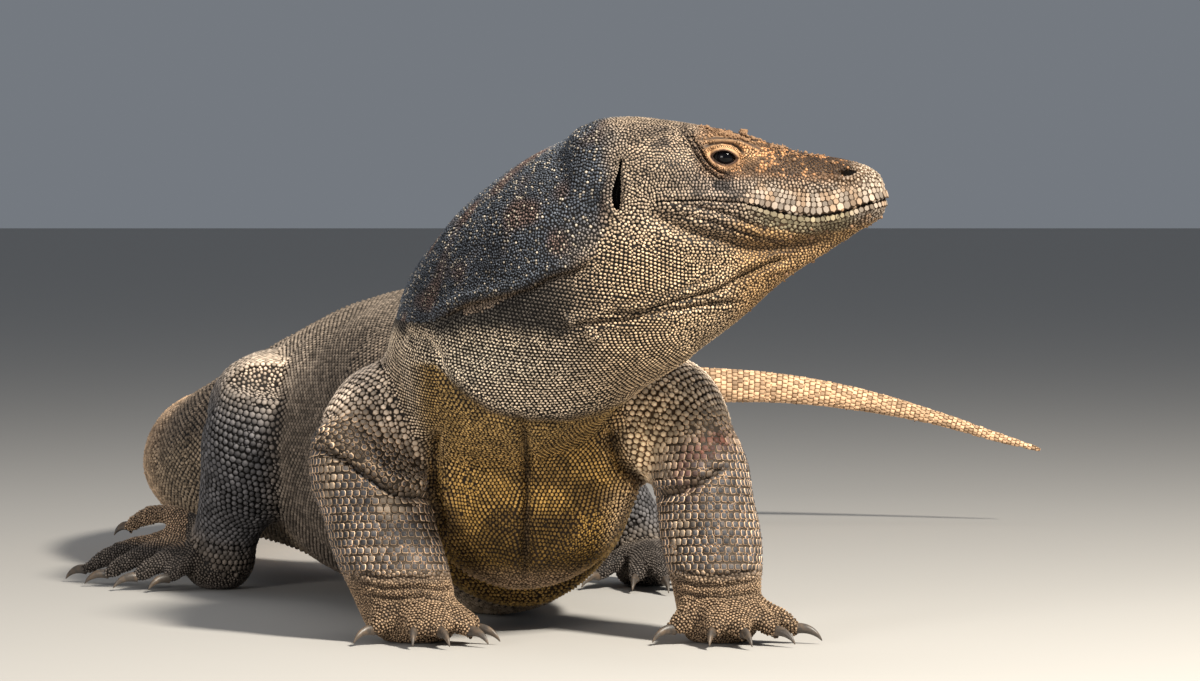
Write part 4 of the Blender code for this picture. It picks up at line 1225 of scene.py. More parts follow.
class Coat:
    """Roots of scales, taken in order: a later one is kept only where it doesn't crowd those before it."""

    cell = 0.0070

    def __init__(self):
        self.grid = {}
        self.kept = []

    def take(self, places, normals, ways, wide, long, part, shape, room):
        """Keeps the roots at least room times the mean size away from each one before them.

        Kept roots lie in a grid of cells, so that only the 27 cells about a place are looked through.
        """
        reach = 0.5 * np.sqrt(wide * long)
        cells = np.floor(places / self.cell).astype(int).tolist()
        keep = np.zeros(len(places), bool)
        grid = self.grid
        for i, ((x, y, z), cell, own) in enumerate(zip(places.tolist(), cells, reach.tolist())):
            keep[i] = not any(
                (x - ox) ** 2 + (y - oy) ** 2 + (z - oz) ** 2 < (room * (own + other)) ** 2
                for near in product(*((at - 1, at, at + 1) for at in cell))
                if near in grid
                for ox, oy, oz, other in grid[near]
            )
            if keep[i]:
                grid.setdefault(tuple(cell), []).append((x, y, z, own))
        ways = unit(ways - (ways * normals).sum(1)[:, None] * normals)
        part = np.broadcast_to(np.array(part, dtype="U16"), keep.shape)
        shape = np.broadcast_to(np.array(shape, dtype="U6"), keep.shape)
        batch = {"places": places, "normals": normals, "ways": ways, "wide": wide, "long": long}
        batch |= {"part": part, "shape": shape}
        self.kept.append({key: values[keep] for key, values in batch.items()})

    def all(self):
        """The kept roots of all batches, by what they hold."""
        return {key: np.concatenate([batch[key] for batch in self.kept]) for key in self.kept[0]}


# Coat of each part: width and length of a scale, its shape, and how far round the tube its rows are in step.
PART_COATS = {
    "neck": (0.0034, 0.0025, "bead", 0.0),
    "trunk": (0.0050, 0.0044, "pebble", 0.25),
    "right_upper_arm": (0.0052, 0.0045, "knob", 0.25),
    "left_upper_arm": (0.0050, 0.0045, "knob", 0.25),
    "right_forearm": (0.0058, 0.0064, "tile", 0.25),
    "left_forearm": (0.0056, 0.0066, "tile", 0.25),
    "right_thigh": (0.0050, 0.0044, "knob", 0.25),
    "left_thigh": (0.0050, 0.0044, "knob", 0.25),
    "right_shank": (0.0054, 0.0048, "knob", 0.25),
    "left_shank": (0.0054, 0.0048, "knob", 0.25),
}
NECK_SLANT = 1.15
TOE_SCALE = (0.0031, 0.0026)
CHEST_SCALE = 0.0034
CHEST_ROW = 0.84  # distance between rows of the breast, over their scales' width
PLATED = 0.42  # share of the way along trunk and tail at which plates begin
TAIL_SHARES = (0, 0.33, 0.5, 0.7, 0.88, 1.0)  # along trunk and tail
TAIL_WIDE = (0.0054, 0.0056, 0.0060, 0.0058, 0.0048, 0.0034)
TAIL_LONG = (0.0048, 0.0050, 0.0060, 0.0064, 0.0056, 0.0042)
FILLING_SHARES = (0.90, 0.70, 0.52, 0.38)  # size of the filling scales over that of the scales around them
FILLING_TRIES = 300000
ROW_ROOM, RING_ROOM, FILLING_ROOM = 0.70, 0.68, 0.84  # least distance of two roots, over their scales' mean size
RING_REACH, TOE_REACH = 0.0060, 0.0030  # how far a ring's root may lie from the skin
SLACK, SHOULDER_SLACK = 0.004, 0.020  # how much nearer another part may be to a part's root
FILLING_SCALE = 1.12  # width of a filling scale over the room it is given


def on_nape(points):
    """True on the upper neck, over the ridge that runs back from the ear on each side."""
    x, _, z = on_right(points).T
    return (z > height_on([*RIDGE, (0.135, 0.345)], x)) & (x < 0.140)


def size_at(points, gaps):
    """Width of the scales that fill what the rows leave, from the parts around each place."""
    size = np.full(len(points), 0.0052)
    x, y, z = points.T
    for name, (wide, long, _, _) in PART_COATS.items():
        size += closeness(gaps, name, fade=0.004) * (0.5 * (wide + long) - size)
    trunk = closeness(gaps, "trunk")
    size += ramp(-0.21, -0.27, y) * trunk * (CHEST_SCALE - size)
    size += trunk * ramp(0.40, 0.75, y) * (0.0054 - size)
    size += ramp(0.30, 0.50, x) * (y > 0.5) * (0.0042 - size)
    size += closeness(gaps, *FEET) * (0.0027 - size)
    size += ramp(0.06, 0.045, z) * (y < -0.28) * (0.0026 - size)
    size += closeness(gaps, "head", fade=0.004) * (np.mean(face_sizes(points), axis=0) - size)
    return size


def tail_size(share, sizes):
    """A size of the scales at shares of the way along trunk and tail."""
    return np.interp(share, TAIL_SHARES, sizes)


def free_of_holes(places):
    """True away from the eyes' openings, the ears' slits, the nostrils and the line of the mouth."""
    back, side, high = head_place(places)
    out = np.abs(side)
    gap, share = line_place(np.stack([back, high], -1), MOUTH)
    hole = on_lids(back, high) & (out > 0.02)
    hole |= (ear_ring(back, high) < 1.05) & (out > 0.03)
    hole |= (nostril_ring(back, high) < 1.05) & (out > 0.008)
    hole |= (gap < 0.0008) & (share < 0.97) & ((back < 0.015) | (out > 0.012))
    return ~(hole & (back > -0.02) & (back < 0.24) & (out < 0.09))


def tree_of(places):
    """A search tree of places."""
    tree = KDTree(len(places))
    for i, place in enumerate(places.tolist()):
        tree.insert(place, i)
    tree.balance()
    return tree


def widened(kept):
    """The roots with scales sized by the room they really have: the mean distance to the five nearest roots."""
    tree = tree_of(kept["places"])
    room = np.array([sum(hit[2] for hit in tree.find_n(place, 6)) / 5 for place in kept["places"].tolist()])
    meet = np.array([SHAPES[shape].meet for shape in kept["shape"]])
    hoped = np.sqrt(kept["wide"] * kept["long"] / meet * 1.15)
    share = np.clip(room / hoped, 0.92, np.where(np.isin(kept["shape"], ("grain", "knob")), 1.16, 1.35))
    kept["wide"], kept["long"] = kept["wide"] * share, kept["long"] * share
    return kept


def uncovered(coat, places, reach):
    """True at places further than their reach from every root so far."""
    tree = tree_of(coat.all()["places"])
    return np.array([tree.find(place)[2] for place in places.tolist()]) > reach


def face_coat(coat, skin):
    """Scales of the face, along the rows beside the mouth and round eyes, ears and nostrils."""
    on_face = (closeness(skin.gaps, "head") > 0.4) & (skin.points[:, 0] > 0.10)
    roots, ways = roots_in_rows(
        skin.points,
        skin.triangles[on_face[skin.triangles].any(1)],
        face_rows(skin.points),
        lambda places: face_sizes(places)[0],
        0.5,
        lambda line: np.abs(line[:, 0] - SNOUT[0] + 0.055) + 0.3 * np.abs(line[:, 2] - SNOUT[2]),
    )
    clear = free_of_holes(roots)
    roots, ways = roots[clear], ways[clear]
    draw = np.random.default_rng(5)
    wide, long = face_sizes(roots)
    loose = np.where(long > SHIELD_LENGTH, 0.02, 0.10)[:, None] * wide[:, None]
    found, normals, _, _ = skin.settled(roots + draw.normal(0, 1, roots.shape) * loose)
    shape = np.where(long > SHIELD_LENGTH, "shield", "grain")
    long = long * ROW * SHAPES["grain"].meet
    coat.take(found, normals, np.cross(normals, ways), wide, long, "head", shape, ROW_ROOM)


def breast_coat(coat, skin):
    """Scales of the breast, in level rows seen from the front, warped by two mottlings and cast on the skin."""
    step = CHEST_SCALE * CHEST_ROW
    level = np.arange(0.004, 0.235, step)
    across, over = np.meshgrid(np.arange(-0.04, 0.17, CHEST_SCALE), level)
    across = across + 0.5 * CHEST_SCALE * (np.arange(len(level)) % 2)[:, None]
    rows = np.stack([across, np.full(across.shape, -0.6), over], -1).reshape(-1, 3)
    rows[:, 0] += 0.014 * (mottle(rows, 0.030, 12) - 0.5)
    rows[:, 2] += 0.018 * (mottle(rows, 0.034, 13) - 0.5)
    hits = [skin.tree.ray_cast(Vector(p), Vector((0, 1, 0))) for p in rows.tolist()]
    hits = [hit for hit in hits if hit[0] is not None]
    found = np.array([tuple(hit[0]) for hit in hits])
    normals = skin.smooth(found, np.array([hit[2] for hit in hits]))
    gaps = part_gaps(found)
    under = (found[:, 2] < height_on(BIB, found[:, 0])) & (np.abs(found[:, 0] - 0.066) < 0.070)
    chest = (closeness(gaps, "trunk") > 0.5) | (under & (closeness(gaps, "neck", "trunk") > 0.5))
    chest &= (normals[:, 1] < -0.42) & (found[:, 1] < -0.2)
    found, normals = found[chest], normals[chest]
    size = CHEST_SCALE * (0.92 + 0.20 * mottle(found, 0.012, 14))
    down = np.tile([0.0, 0.0, -1.0], (len(found), 1))
    coat.take(found, normals, down, size, size * CHEST_ROW * SHAPES["grain"].meet, "trunk", "grain", ROW_ROOM)


def forearm_coat(coat, skin, part):
    """Tiles of a forearm, in almost level rows up to the elbow's fold."""
    wide, long, shape, _ = PART_COATS[part]
    own = skin.owns(part, np.arange(len(skin.points)), SLACK)
    own &= (skin.points[:, 2] > 0.046) & (skin.points[:, 2] < 0.160)
    roots, ways = roots_in_rows(
        skin.points,
        skin.triangles[own[skin.triangles].all(1)],
        np.maximum((skin.points[:, 2] - 0.050 + 0.10 * (skin.points[:, 1] + 0.31)) / long, 0),
        lambda places: np.full(len(places), wide),
        0.3,
        lambda line: line[:, 1],
    )
    if part == "right_forearm":
        keep = roots[:, 2] < height_on(ELBOW_FOLD, roots[:, 0])
        roots, ways = roots[keep], ways[keep]
    found, normals, _, _ = skin.settled(roots)
    wide, long = (np.full(len(found), size) for size in (wide, long * SHAPES[shape].meet))
    coat.take(found, normals, np.cross(normals, ways), wide, long, part, shape, ROW_ROOM)


def ring_coat(coat, skin, part):
    """Scales in rings round neck, trunk and tail or a leg's part."""
    wide, long, shape, anchor = PART_COATS[part]
    stations, upward = {"neck": (NECK, UP), "trunk": (TRUNK, UP), **LIMBS}[part]
    pitches = (wide, long)
    if part == "trunk":
        pitches = [lambda share, sizes=sizes: tail_size(share, sizes) for sizes in (TAIL_WIDE, TAIL_LONG)]
    roots, ways, sizes = ring_roots(stations, upward, *pitches, anchor, slant=NECK_SLANT * (part == "neck"))
    found, normals, away, corner = skin.settled(roots)
    near = (away < RING_REACH) & skin.owns(part, corner, SHOULDER_SLACK if "upper" in part else SLACK)
    near &= free_of_holes(found)
    if part == "neck":
        near &= ~on_nape(found)
    found, normals, ways, sizes = found[near], normals[near], ways[near], sizes[near]
    shapes, length = np.full(len(found), shape), np.full(len(found), long)
    if part == "trunk":
        share = along_tube(TRUNK, UP, found)[0] / distances(TRUNK)[-1]
        shapes, length = np.where(share > PLATED, "plate", shape), tail_size(share, TAIL_LONG)
    length = length * [SHAPES[kind].meet for kind in shapes]
    coat.take(found, normals, ways, sizes, length, part, shapes, RING_ROOM)


def toe_coat(coat, skin, name):
    """Scales in rings round a toe."""
    roots, ways, sizes = ring_roots(TOES[name], UP, *TOE_SCALE, 0.25, 0.010)
    found, normals, away, _ = skin.settled(roots)
    near = away < TOE_REACH
    length = np.full(near.sum(), TOE_SCALE[1] * SHAPES["bead"].meet)
    shape = "bead" if "hand" in name else "pebble"
    coat.take(found[near], normals[near], ways[near], sizes[near], length, name.rsplit("_toe", 1)[0], shape, ROW_ROOM)


def filling_coat(coat, skin):
    """What the rows leave is filled from random places, first with scales of the size around them, then smaller."""
    draw = np.random.default_rng(7)
    names = np.array(list(skin.gaps))
    owners = names[np.argmin([skin.gaps[name] for name in names], axis=0)]
    corners = skin.triangles
    size = size_at(skin.points, skin.gaps)[corners].mean(axis=1)
    a, b, c = (skin.points[corners[:, i]] for i in range(3))
    area = np.linalg.norm(np.cross(b - a, c - a), axis=1) / 2
    weight = np.cumsum(area / size**2)
    for share in FILLING_SHARES:
        picked = np.searchsorted(weight, draw.uniform(0, weight[-1], FILLING_TRIES))
        picked = np.minimum(picked, len(corners) - 1)
        u, v = np.sqrt(draw.uniform(0, 1, FILLING_TRIES)), draw.uniform(0, 1, FILLING_TRIES)
        places = (1 - u)[:, None] * a[picked] + (u * (1 - v))[:, None] * b[picked] + (u * v)[:, None] * c[picked]
        own = size[picked] * share
        clear = uncovered(coat, places, own * 0.62) & free_of_holes(places)
        places, picked, own = places[clear], picked[clear], own[clear] * FILLING_SCALE
        normals = skin.smooth(places, picked)
        part = owners[corners[picked, 0]]
        fine = np.isin(part, ("head", "neck", "right_hand", "left_hand")) & ~on_nape(places)
        shape = np.where(fine, "grain", "pebble")
        ways = normals[:, [1, 2, 0]] * (1, -1, 1)
        coat.take(places, normals, ways, own, own, part, shape, FILLING_ROOM / FILLING_SCALE)


def grow_coat(skin):
    """All roots, from the scales in rows to those that fill what is left."""
    coat = Coat()
    face_coat(coat, skin)
    breast_coat(coat, skin)
    for side in ("right", "left"):
        forearm_coat(coat, skin, f"{side}_forearm")
    for part in PART_COATS:
        if "forearm" not in part:
            ring_coat(coat, skin, part)
    for name in TOES:
        toe_coat(coat, skin, name)
    filling_coat(coat, skin)
    return widened(coat.all())


def pieces_of_coat(kept):
    """The roots of each piece of the coat, small enough to be one mesh."""
    part, (x, y, z) = kept["part"], kept["places"].T
    trunk, head, neck = part == "trunk", part == "head", part == "neck"
    upper = z > SNOUT[2] - 0.004
    nape = on_nape(kept["places"])
    chosen = {
        "head_scales": head & upper,
        "jaw_scales": head & ~upper,
        "nape_scales": neck & nape,
        "neck_scales": neck & ~nape & (x < 0.085),
        "throat_scales": neck & ~nape & (x >= 0.085),
        "breast_scales": trunk & (y < -0.12),
        "back_scales": trunk & (y >= -0.12) & (y < 0.10),
        "hip_scales": trunk & (y >= 0.10) & (y < 0.34),
        "tail_root_scales": trunk & (y >= 0.34) & (y < 0.62),
        "tail_end_scales": trunk & (y >= 0.62),
    }
    for side in ("right", "left"):
        chosen[f"{side}_arm_scales"] = np.isin(part, (f"{side}_upper_arm", f"{side}_forearm"))
        chosen[f"{side}_leg_scales"] = np.isin(part, (f"{side}_thigh", f"{side}_shank"))
        for foot in ("hand", "foot"):
            chosen[f"{side}_{foot}_scales"] = part == f"{side}_{foot}"
    return chosen


def unwrap(points, piece):
    """Places of roots on the unrolled piece: turn about its parts' paths, and distance along them."""
    word = piece.replace("_scales", "")
    if word in ("head", "jaw"):
        back, side, high = head_place(points)
        return np.stack([(np.arctan2(high, side) / ROUND) % 1, (back + 0.01) / 0.26], -1)
    if word in FEET:
        x, y, z = (points - FEET[word][0]).T
        return np.stack([0.5 + x / 0.30, 0.25 + 0.5 * (z > -0.012) + y / 0.60], -1)
    tubes = [(TRUNK, UP)]
    if word in ("nape", "neck", "throat"):
        tubes = [(NECK, UP)]
    elif word.endswith("arm"):
        tubes = [LIMBS[word.replace("arm", part)] for part in ("upper_arm", "forearm")]
    elif word.endswith("leg"):
        tubes = [LIMBS[word.replace("leg", part)] for part in ("thigh", "shank")]
    places = [along_tube(stations, upward, points) for stations, upward in tubes]
    tiles = [
        np.stack([((turn / ROUND) % 1 + i) / len(tubes), place / distances(tubes[i][0])[-1]], -1)
        for i, (place, turn, _, _) in enumerate(places)
    ]
    nearest = np.argmin([over for _, _, over, _ in places], axis=0)
    best = np.choose(nearest[:, None], tiles)
    if tubes[0][0] is TRUNK:
        low, high = best[:, 1].min(), best[:, 1].max()
        best[:, 1] = (best[:, 1] - low) / max(high - low, 1e-6)
    return best


def scales_mesh(name, kept, chosen, hide):
    """Copies of the scale shapes at the chosen roots as one mesh, with their colours and their unwrap."""
    index = np.flatnonzero(chosen)
    draw = np.random.default_rng(len(name) * 100 + len(index) % 97)
    spots = unwrap(kept["places"][index], name)
    batches, start = [], 0
    for shape_name, shape in SHAPES.items():
        of_shape = kept["shape"][index] == shape_name
        own = index[of_shape]
        count = len(own)
        if not count:
            continue
        template, faces, edge = shape_points(shape.corners, shape.rings)
        wide = kept["wide"][own] * draw.uniform(shape.fill - 0.05, shape.fill + 0.05, count)
        long = kept["long"][own] * draw.uniform(shape.fill - 0.05, shape.fill + 0.05, count)
        tall = np.clip(np.sqrt(wide * long) * shape.tall * draw.uniform(0.85, 1.2, count), 0.0004, 0.0021)
        normal, way = kept["normals"][own], kept["ways"][own]
        way = unit(way + np.cross(normal, way) * draw.normal(0, shape.loose, count)[:, None])
        normal = unit(normal + way * draw.normal(shape.lean, 0.06, count)[:, None])
        across = np.cross(way, normal)
        local = template[None] * np.stack([wide, long, tall], -1)[:, None]
        local = local * (1 + draw.normal(0, 0.035, (count, len(template), 1)))
        points = (
            kept["places"][own][:, None]
            + local[..., :1] * across[:, None]
            + local[..., 1:2] * way[:, None]
            + local[..., 2:] * normal[:, None]
        )
        points[..., 2] = np.maximum(points[..., 2], 0.00025)
        spot = np.clip(spots[of_shape], PATCH, 1 - PATCH)
        batches.append((
            points.reshape(-1, 3),
            (faces[None] + start + np.arange(count)[:, None, None] * len(template)).reshape(-1, 3),
            np.full(count * len(faces), shape.smooth),
            np.tile(edge, count),
            np.repeat(own, len(template)),
            (spot[:, None] + template[None, :, :2] * PATCH).reshape(-1, 2),
        ))
        start += count * len(template)
    points, faces, smooth, edge, owner, uv = (np.concatenate(values) for values in zip(*batches))
    mesh = mesh_from(name, points, faces)
    mesh.polygons.foreach_set("use_smooth", smooth)
    for colour in ("crown", "border"):
        set_colour(mesh, colour, kept[colour][owner])
    set_value(mesh, "dust", kept["dust"][owner])
    set_value(mesh, "edge", edge)
    set_value(mesh, "shade", np.random.default_rng(11).uniform(0, 1, len(kept["places"]))[owner])
    mesh.uv_layers.new(name="OFBake").data.foreach_set("uv", uv[faces.ravel()].astype(np.float32).ravel())
    mesh.materials.append(hide)
    return placed(name, mesh)


def mesh_from(name, points, faces):
    """A smooth-shaded mesh from arrays of points and triangles."""
    mesh = bpy.data.meshes.new(name)
    mesh.vertices.add(len(points))
    mesh.vertices.foreach_set("co", np.ascontiguousarray(points, np.float32).ravel())
    mesh.loops.add(faces.size)
    mesh.loops.foreach_set("vertex_index", faces.ravel().astype(np.int32))
    mesh.polygons.add(len(faces))
    mesh.polygons.foreach_set("loop_start", np.arange(0, faces.size, 3, dtype=np.int32))
    mesh.update(calc_edges=True)
    mesh.shade_smooth()
    return mesh


def set_colour(mesh, name, values):
    """Gives each point of a mesh a colour."""
    filled = np.column_stack([values, np.ones(len(values))]).astype(np.float32)
    mesh.color_attributes.new(name, "FLOAT_COLOR", "POINT").data.foreach_set("color", filled.ravel())


def set_value(mesh, name, values):
    """Gives each point of a mesh a number."""
    mesh.attributes.new(name, "FLOAT", "POINT").data.foreach_set("value", np.asarray(values, np.float32))


# ---------------------------------------------------------------- materials


# What the markings are given: each input's name, in lower case that of the mesh's attribute, and its kind.
MARKS = (("Crown", "Color"), ("Border", "Color"), ("Edge", "Fac"), ("Shade", "Fac"), ("Dust", "Fac"))


def nodes_of(material_name):
    """A new material, its node tree and its main shader."""
    material = bpy.data.materials.new(material_name)
    material.use_nodes = True
    return material, material.node_tree, material.node_tree.nodes["Principled BSDF"]


def feed(socket, value):
    """Sets a socket to a number or a colour, or links it to another node's result."""
    if isinstance(value, Number):
        value = value.socket
    if isinstance(value, tuple):
        socket.default_value = (*value, 1)
    elif isinstance(value, (int, float)):
        socket.default_value = value
    else:
        socket.id_data.links.new(value, socket)


def node_in(tree, kind, inputs=(), **settings):
    """A new shader node with its settings, and its inputs by name or number."""
    node = tree.nodes.new("ShaderNode" + kind)
    for name, value in settings.items():
        setattr(node, name, value)
    for name, value in dict(inputs).items():
        feed(node.inputs[name], value)
    return node


class Number:
    """A number that a socket gives: +, - and * make Math nodes, and within() keeps the last one from 0 to 1."""

    def __init__(self, socket):
        self.socket = socket

    def worked(self, operation, other):
        """The result of a Math node on this number and another."""
        inputs = {0: self, 1: other}
        return Number(node_in(self.socket.id_data, "Math", inputs, operation=operation).outputs[0])

    def __add__(self, other):
        return self.worked("ADD", other)

    def __sub__(self, other):
        return self.worked("SUBTRACT", other)

    def __mul__(self, other):
        return self.worked("MULTIPLY", other)

    def within(self):
        """This number kept from 0 to 1."""
        self.socket.node.use_clamp = True
        return self


def mixed(tree, amount, first, second, kind="MIX"):
    """A colour mix of the given kind."""
    inputs = {0: amount, 6: first, 7: second}
    return node_in(tree, "Mix", inputs, data_type="RGBA", blend_type=kind).outputs[2]


def object_place(tree):
    """Places in the object's own coordinates."""
    return tree.nodes.new("ShaderNodeTexCoord").outputs["Object"]


def noise(tree, place, scale, detail=2.0, roughness=0.5):
    """Smooth random values of a scale."""
    inputs = {"Scale": scale, "Detail": detail, "Roughness": roughness, "Vector": place}
    return Number(node_in(tree, "TexNoise", inputs).outputs["Fac"])


def attribute(tree, name, output="Fac"):
    """What a point attribute of the mesh holds."""
    return node_in(tree, "Attribute", attribute_name=name).outputs[output]


def bumped(tree, shader, height, strength, distance):
    """Raises the shader's normals by a height."""
    bump = node_in(tree, "Bump", {"Strength": strength, "Distance": distance, "Height": height})
    feed(shader.inputs["Normal"], bump.outputs["Normal"])


def hide_group():
    """Markings shared by skin and scales: tops and borders, each scale's own shade, broad and fine mottling."""
    group = bpy.data.node_groups.new("hide_markings", "ShaderNodeTree")
    for way, sockets in (("INPUT", MARKS), ("OUTPUT", (("Colour", "Color"), ("Roughness", "Fac"), ("Height", "Fac")))):
        for name, kind in sockets:
            socket_type = "NodeSocketColor" if kind == "Color" else "NodeSocketFloat"
            group.interface.new_socket(name, in_out=way, socket_type=socket_type)
    inside, outside = group.nodes.new("NodeGroupInput").outputs, group.nodes.new("NodeGroupOutput").inputs
    edge, shade = Number(inside["Edge"]), Number(inside["Shade"])
    place = object_place(group)
    broad, fine, grit = (noise(group, place, *size, 0.6) for size in ((38, 3), (420, 3), (2100, 2)))
    rim = (((edge - 0.52) * 4.2).within() + (fine - 0.5) * 0.5).within()
    colour = mixed(group, rim, inside["Crown"], inside["Border"])
    deep = ((edge - 0.80).within() * 8.3).within()
    gap_colour = mixed(group, inside["Dust"], (0.008, 0.006, 0.005), (0.40, 0.225, 0.110))
    colour = mixed(group, deep * 0.94, colour, gap_colour)
    level = (shade * 0.90 + 0.55) * (broad * 1.1 + 0.45) * (grit * 0.36 + 0.82)
    grey = node_in(group, "CombineColor", {0: level, 1: level, 2: level})
    feed(outside["Colour"], mixed(group, 1.0, colour, grey.outputs[0], "MULTIPLY"))
    feed(outside["Roughness"], fine * 0.3 + 0.45)
    feed(outside["Height"], grit)
    return group


def hide_material(name, group, gaps_only):
    """Hide of scales, or of the skin seen in the gaps between them, where all is border and darker."""
    material, tree, shader = nodes_of(name)
    marks = tree.nodes.new("ShaderNodeGroup")
    marks.node_tree = group
    for socket, output in MARKS:
        feed(marks.inputs[socket], attribute(tree, socket.lower(), output))
    colour = marks.outputs["Colour"]
    if gaps_only:
        colour = mixed(tree, 1.0, colour, (0.8, 0.8, 0.8), "MULTIPLY")
    feed(shader.inputs["Base Color"], colour)
    feed(shader.inputs["Roughness"], marks.outputs["Roughness"])
    shader.inputs["Specular IOR Level"].default_value = 0.20
    bumped(tree, shader, marks.outputs["Height"], 0.25, 0.0004)
    return material


def horn_material():
    """Claw horn: grey, streaked, paler and worn towards the point, and dusty in patches."""
    material, tree, shader = nodes_of("horn")
    place = object_place(tree)
    streak = noise(tree, place, 520, 4, 0.6)
    dust = ((noise(tree, place, 150) - 0.42).within() * 2.4).within()
    colour = mixed(tree, streak, (0.012, 0.010, 0.010), (0.085, 0.070, 0.058))
    colour = mixed(tree, Number(attribute(tree, "edge")) * 0.3, colour, (0.13, 0.105, 0.082))
    feed(shader.inputs["Base Color"], mixed(tree, dust * 0.6, colour, (0.22, 0.14, 0.08)))
    feed(shader.inputs["Roughness"], streak * 0.3 + 0.28)
    bumped(tree, shader, streak, 0.3, 0.0005)
    return material


def eye_material():
    """A wet eye: black pupil, almost black iris with fine flecks, dark rim, by distance from the eye's axis."""
    material, tree, shader = nodes_of("wet_eye")
    ring = Number(attribute(tree, "edge"))
    flecks = noise(tree, object_place(tree), 900, 3, 0.7)
    iris = mixed(tree, flecks, (0.002, 0.002, 0.004), (0.008, 0.006, 0.007))
    colour = mixed(tree, ((ring - 0.34) * 14.0).within(), (0.002, 0.002, 0.003), iris)
    colour = mixed(tree, ((ring - 0.72) * 8.0).within(), colour, (0.030, 0.026, 0.026))
    feed(shader.inputs["Base Color"], colour)
    shader.inputs["Roughness"].default_value = 0.08
    shader.inputs["Specular IOR Level"].default_value = 0.20
    return material


def plain_material(name, colour, roughness):
    """A material of one colour."""
    material, _, shader = nodes_of(name)
    feed(shader.inputs["Base Color"], colour)
    feed(shader.inputs["Roughness"], roughness)
    return material


# ---------------------------------------------------------------- eyes and claws


def claw_points(root, tip):
    """A claw: ovals along an arc that first rises a little and then hooks down.

    The radius falls as 1 - 0.92 share^1.8.
    """
    root, tip, upward = np.array(root), np.array(tip), np.array([0, 0, 1])
    ahead = tip - root
    ahead[2] = 0
    ahead = unit(ahead)
    side = np.array([-ahead[1], ahead[0], 0])
    share = np.linspace(-0.04, 1.0, 20)[:, None]
    heading = CLAW_RISE - CLAW_BEND * share
    reach = CLAW_LENGTH / CLAW_BEND
    centre = tip + ahead * (reach * (math.sin(CLAW_RISE) - np.sin(heading)) - 0.004)
    centre = centre + upward * (reach * (np.cos(heading) - math.cos(CLAW_RISE)) + 0.0022)
    up = upward * np.cos(heading) - ahead * np.sin(heading)
    radius = CLAW_RADIUS * (1 - np.maximum(share, 0) ** 1.8 * 0.92)[:, None]
    turn = np.linspace(0, ROUND, 18, endpoint=False)
    oval = np.stack([np.cos(turn) * 0.74, np.sin(turn) * np.where(np.sin(turn) > 0, 1.0, 0.82)], -1)
    rings = centre[:, None] + radius * oval[None, :, :1] * side + radius * oval[None, :, 1:] * up[:, None]
    rings[..., 2] = np.maximum(rings[..., 2], 0.0004)
    return rings, share[:, 0]


def piece_from_rings(name, rings, material, ring_value):
    """A closed smooth piece through rings, holding one value for each ring."""
    points, faces = closed_rings(rings)
    mesh = bpy.data.meshes.new(name)
    mesh.from_pydata(points.tolist(), [], faces)
    set_value(mesh, "edge", np.concatenate([np.repeat(ring_value, rings.shape[1]), ring_value[[0, -1]]]))
    mesh.materials.append(material)
    reworked(mesh, turn_outward)
    mesh.shade_smooth()
    return placed(name, mesh)


def eye_rings(side):
    """A ball about the axis that looks out of the head, with the clear front bulging 0.8 mm."""
    t = np.linspace(0.01, math.pi - 0.05, 40)[:, None]
    turn = np.linspace(0, ROUND, 40, endpoint=False)[None]
    radius = (EYE_RADIUS - 0.0008) + 0.0008 * bell(t, 0.50)
    axis = unit(np.array([0.22, side, 0.05]))
    first = unit(np.cross(axis, (0, 0, 1.0)))
    second = np.cross(axis, first)
    centre = on_head(EYE_BACK, side * EYE_OUT, EYE_HEIGHT)
    ring = np.cos(turn)[..., None] * first + np.sin(turn)[..., None] * second
    rings = centre + radius[..., None] * (np.cos(t)[..., None] * axis + np.sin(t)[..., None] * ring)
    return rings, t[:, 0] / 1.2


def crumb_shape():
    """Corners and outward faces of a twenty-sided ball: golden rectangles' corners, joined where they are close."""
    golden = (1 + 5**0.5) / 2
    corners = [(s, golden * t, 0) for s in (-1, 1) for t in (-1, 1)]
    corners = unit(np.array(corners + [(0, p, q) for p, q, _ in corners] + [(q, 0, p) for p, q, _ in corners]))
    close = np.linalg.norm(corners[:, None] - corners[None], axis=2) < 1.2
    faces = [(i, j, k) for i, j, k in combinations(range(12), 3) if close[i, j] and close[j, k] and close[i, k]]
    outward = [np.dot(np.cross(corners[j] - corners[i], corners[k] - corners[i]), corners[i]) > 0 for i, j, k in faces]
    return corners, np.array([face if out else face[::-1] for face, out in zip(faces, outward)])


